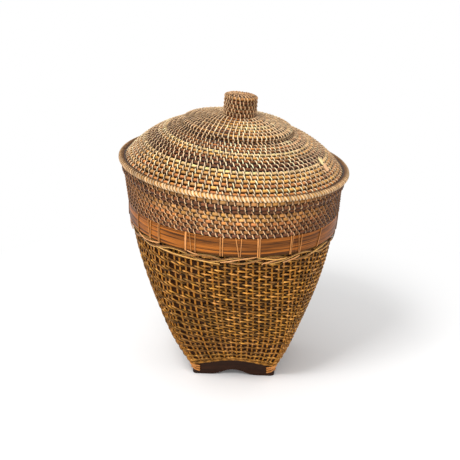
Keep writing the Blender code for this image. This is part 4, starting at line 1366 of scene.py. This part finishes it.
def floor_material():
    """Pale floor that keeps the shadow near the object and turns plain white away from it."""
    tree = Tree(bpy.data.materials.new("pale_floor"))
    shader = tree.nodes["Principled BSDF"]
    tree.fill(shader, {"Base Color": (0.93, 0.93, 0.93, 1), "Roughness": 0.9,
                       "Specular IOR Level": 0.0})
    white = tree.node("ShaderNodeEmission", None, {"Color": WHITE, "Strength": 1.0})
    away = tree.node("ShaderNodeVectorMath", {"operation": "LENGTH"}, {0: tree.in_object()},
                     output=1)
    seen = tree.node("ShaderNodeLightPath", output="Is Camera Ray")
    mix = tree.node("ShaderNodeMixShader", None,
                    {0: tree.span(away, 0.36, 0.75) * seen, 1: Sock(tree, shader.outputs[0]),
                     2: white})
    tree.fill(tree.nodes["Material Output"], {"Surface": mix})
    return tree.owner


def light_world(world):
    """White where the camera sees it, and a plain level of light on the object."""
    tree = Tree(world)
    tree.nodes.clear()
    seen = tree.node("ShaderNodeBackground", None, {"Color": WHITE})
    lit = tree.node("ShaderNodeBackground", None, {"Color": WHITE, "Strength": AMBIENT})
    camera = tree.node("ShaderNodeLightPath", output="Is Camera Ray")
    mix = tree.node("ShaderNodeMixShader", None, {0: camera, 1: lit, 2: seen})
    tree.fill(tree.nodes.new("ShaderNodeOutputWorld"), {"Surface": mix})


class BASKET_OT_stage(bpy.types.Operator):
    """Set the floor, the light and the camera"""

    bl_idname = "basket.stage"
    bl_label = "Stage"

    def execute(self, context):
        scene = context.scene
        scene.view_settings.view_transform = "Standard"
        deselect()
        bpy.ops.mesh.primitive_plane_add(size=40, location=(0, 0, -0.0002))
        floor = context.object
        floor.name = "floor"
        floor.data.materials.append(floor_material())

        scene.world = scene.world or bpy.data.worlds.new("world")
        light_world(scene.world)
        for name, place, aim, size, power in LAMPS:
            light = bpy.data.lights.new(name, "AREA")
            light.size = size
            light.energy = power
            lamp = linked(name, light)
            lamp.location = place
            lamp.rotation_euler = (Vector(aim) - Vector(place)).to_track_quat("-Z", "Y").to_euler()

        camera = linked("camera", bpy.data.cameras.new("camera"))
        camera.location = (FOOT_SHIFT + CAMERA_AWAY * math.sin(CAMERA_TURN),
                           -CAMERA_AWAY * math.cos(CAMERA_TURN), CAMERA_HEIGHT)
        camera.rotation_euler = (math.pi / 2 - CAMERA_PITCH, 0, CAMERA_TURN)
        camera.data.sensor_width = SENSOR
        camera.data.lens = FOCAL / FRAME * SENSOR
        camera.data.shift_x = SHIFT / FRAME
        scene.camera = camera
        return {"FINISHED"}


OPERATORS = (
    BASKET_OT_lid_tier, BASKET_OT_lid_crown, BASKET_OT_lid_rim, BASKET_OT_knob, BASKET_OT_neck,
    BASKET_OT_wall, BASKET_OT_floor, BASKET_OT_bands, BASKET_OT_lashings,
    BASKET_OT_crossed_strands, BASKET_OT_foot, BASKET_OT_corners, BASKET_OT_splice,
    BASKET_OT_stage,
)


class BASKET_PT_panel(bpy.types.Panel):
    """Buttons, sizes and colours of the basket"""

    bl_label = "Basket"
    bl_idname = "BASKET_PT_panel"
    bl_space_type = "VIEW_3D"
    bl_region_type = "UI"
    bl_category = "Basket"

    def draw(self, context):
        for group in (context.scene.basket_sizes, context.scene.basket_colours):
            for key in group.__annotations__:
                self.layout.prop(group, key)
        for operator in OPERATORS:
            self.layout.operator(operator.bl_idname)


CLASSES = (BasketSizes, BasketColours, *OPERATORS, BASKET_PT_panel)


def register():
    for each in CLASSES:
        bpy.utils.register_class(each)
    bpy.types.Scene.basket_sizes = PointerProperty(type=BasketSizes)
    bpy.types.Scene.basket_colours = PointerProperty(type=BasketColours)


def unregister():
    del bpy.types.Scene.basket_colours
    del bpy.types.Scene.basket_sizes
    for each in reversed(CLASSES):
        bpy.utils.unregister_class(each)


def main():
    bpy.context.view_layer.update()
    register()
    for operator in OPERATORS:
        group, name = operator.bl_idname.split(".")
        getattr(getattr(bpy.ops, group), name)()


if __name__ == "__main__":
    main()
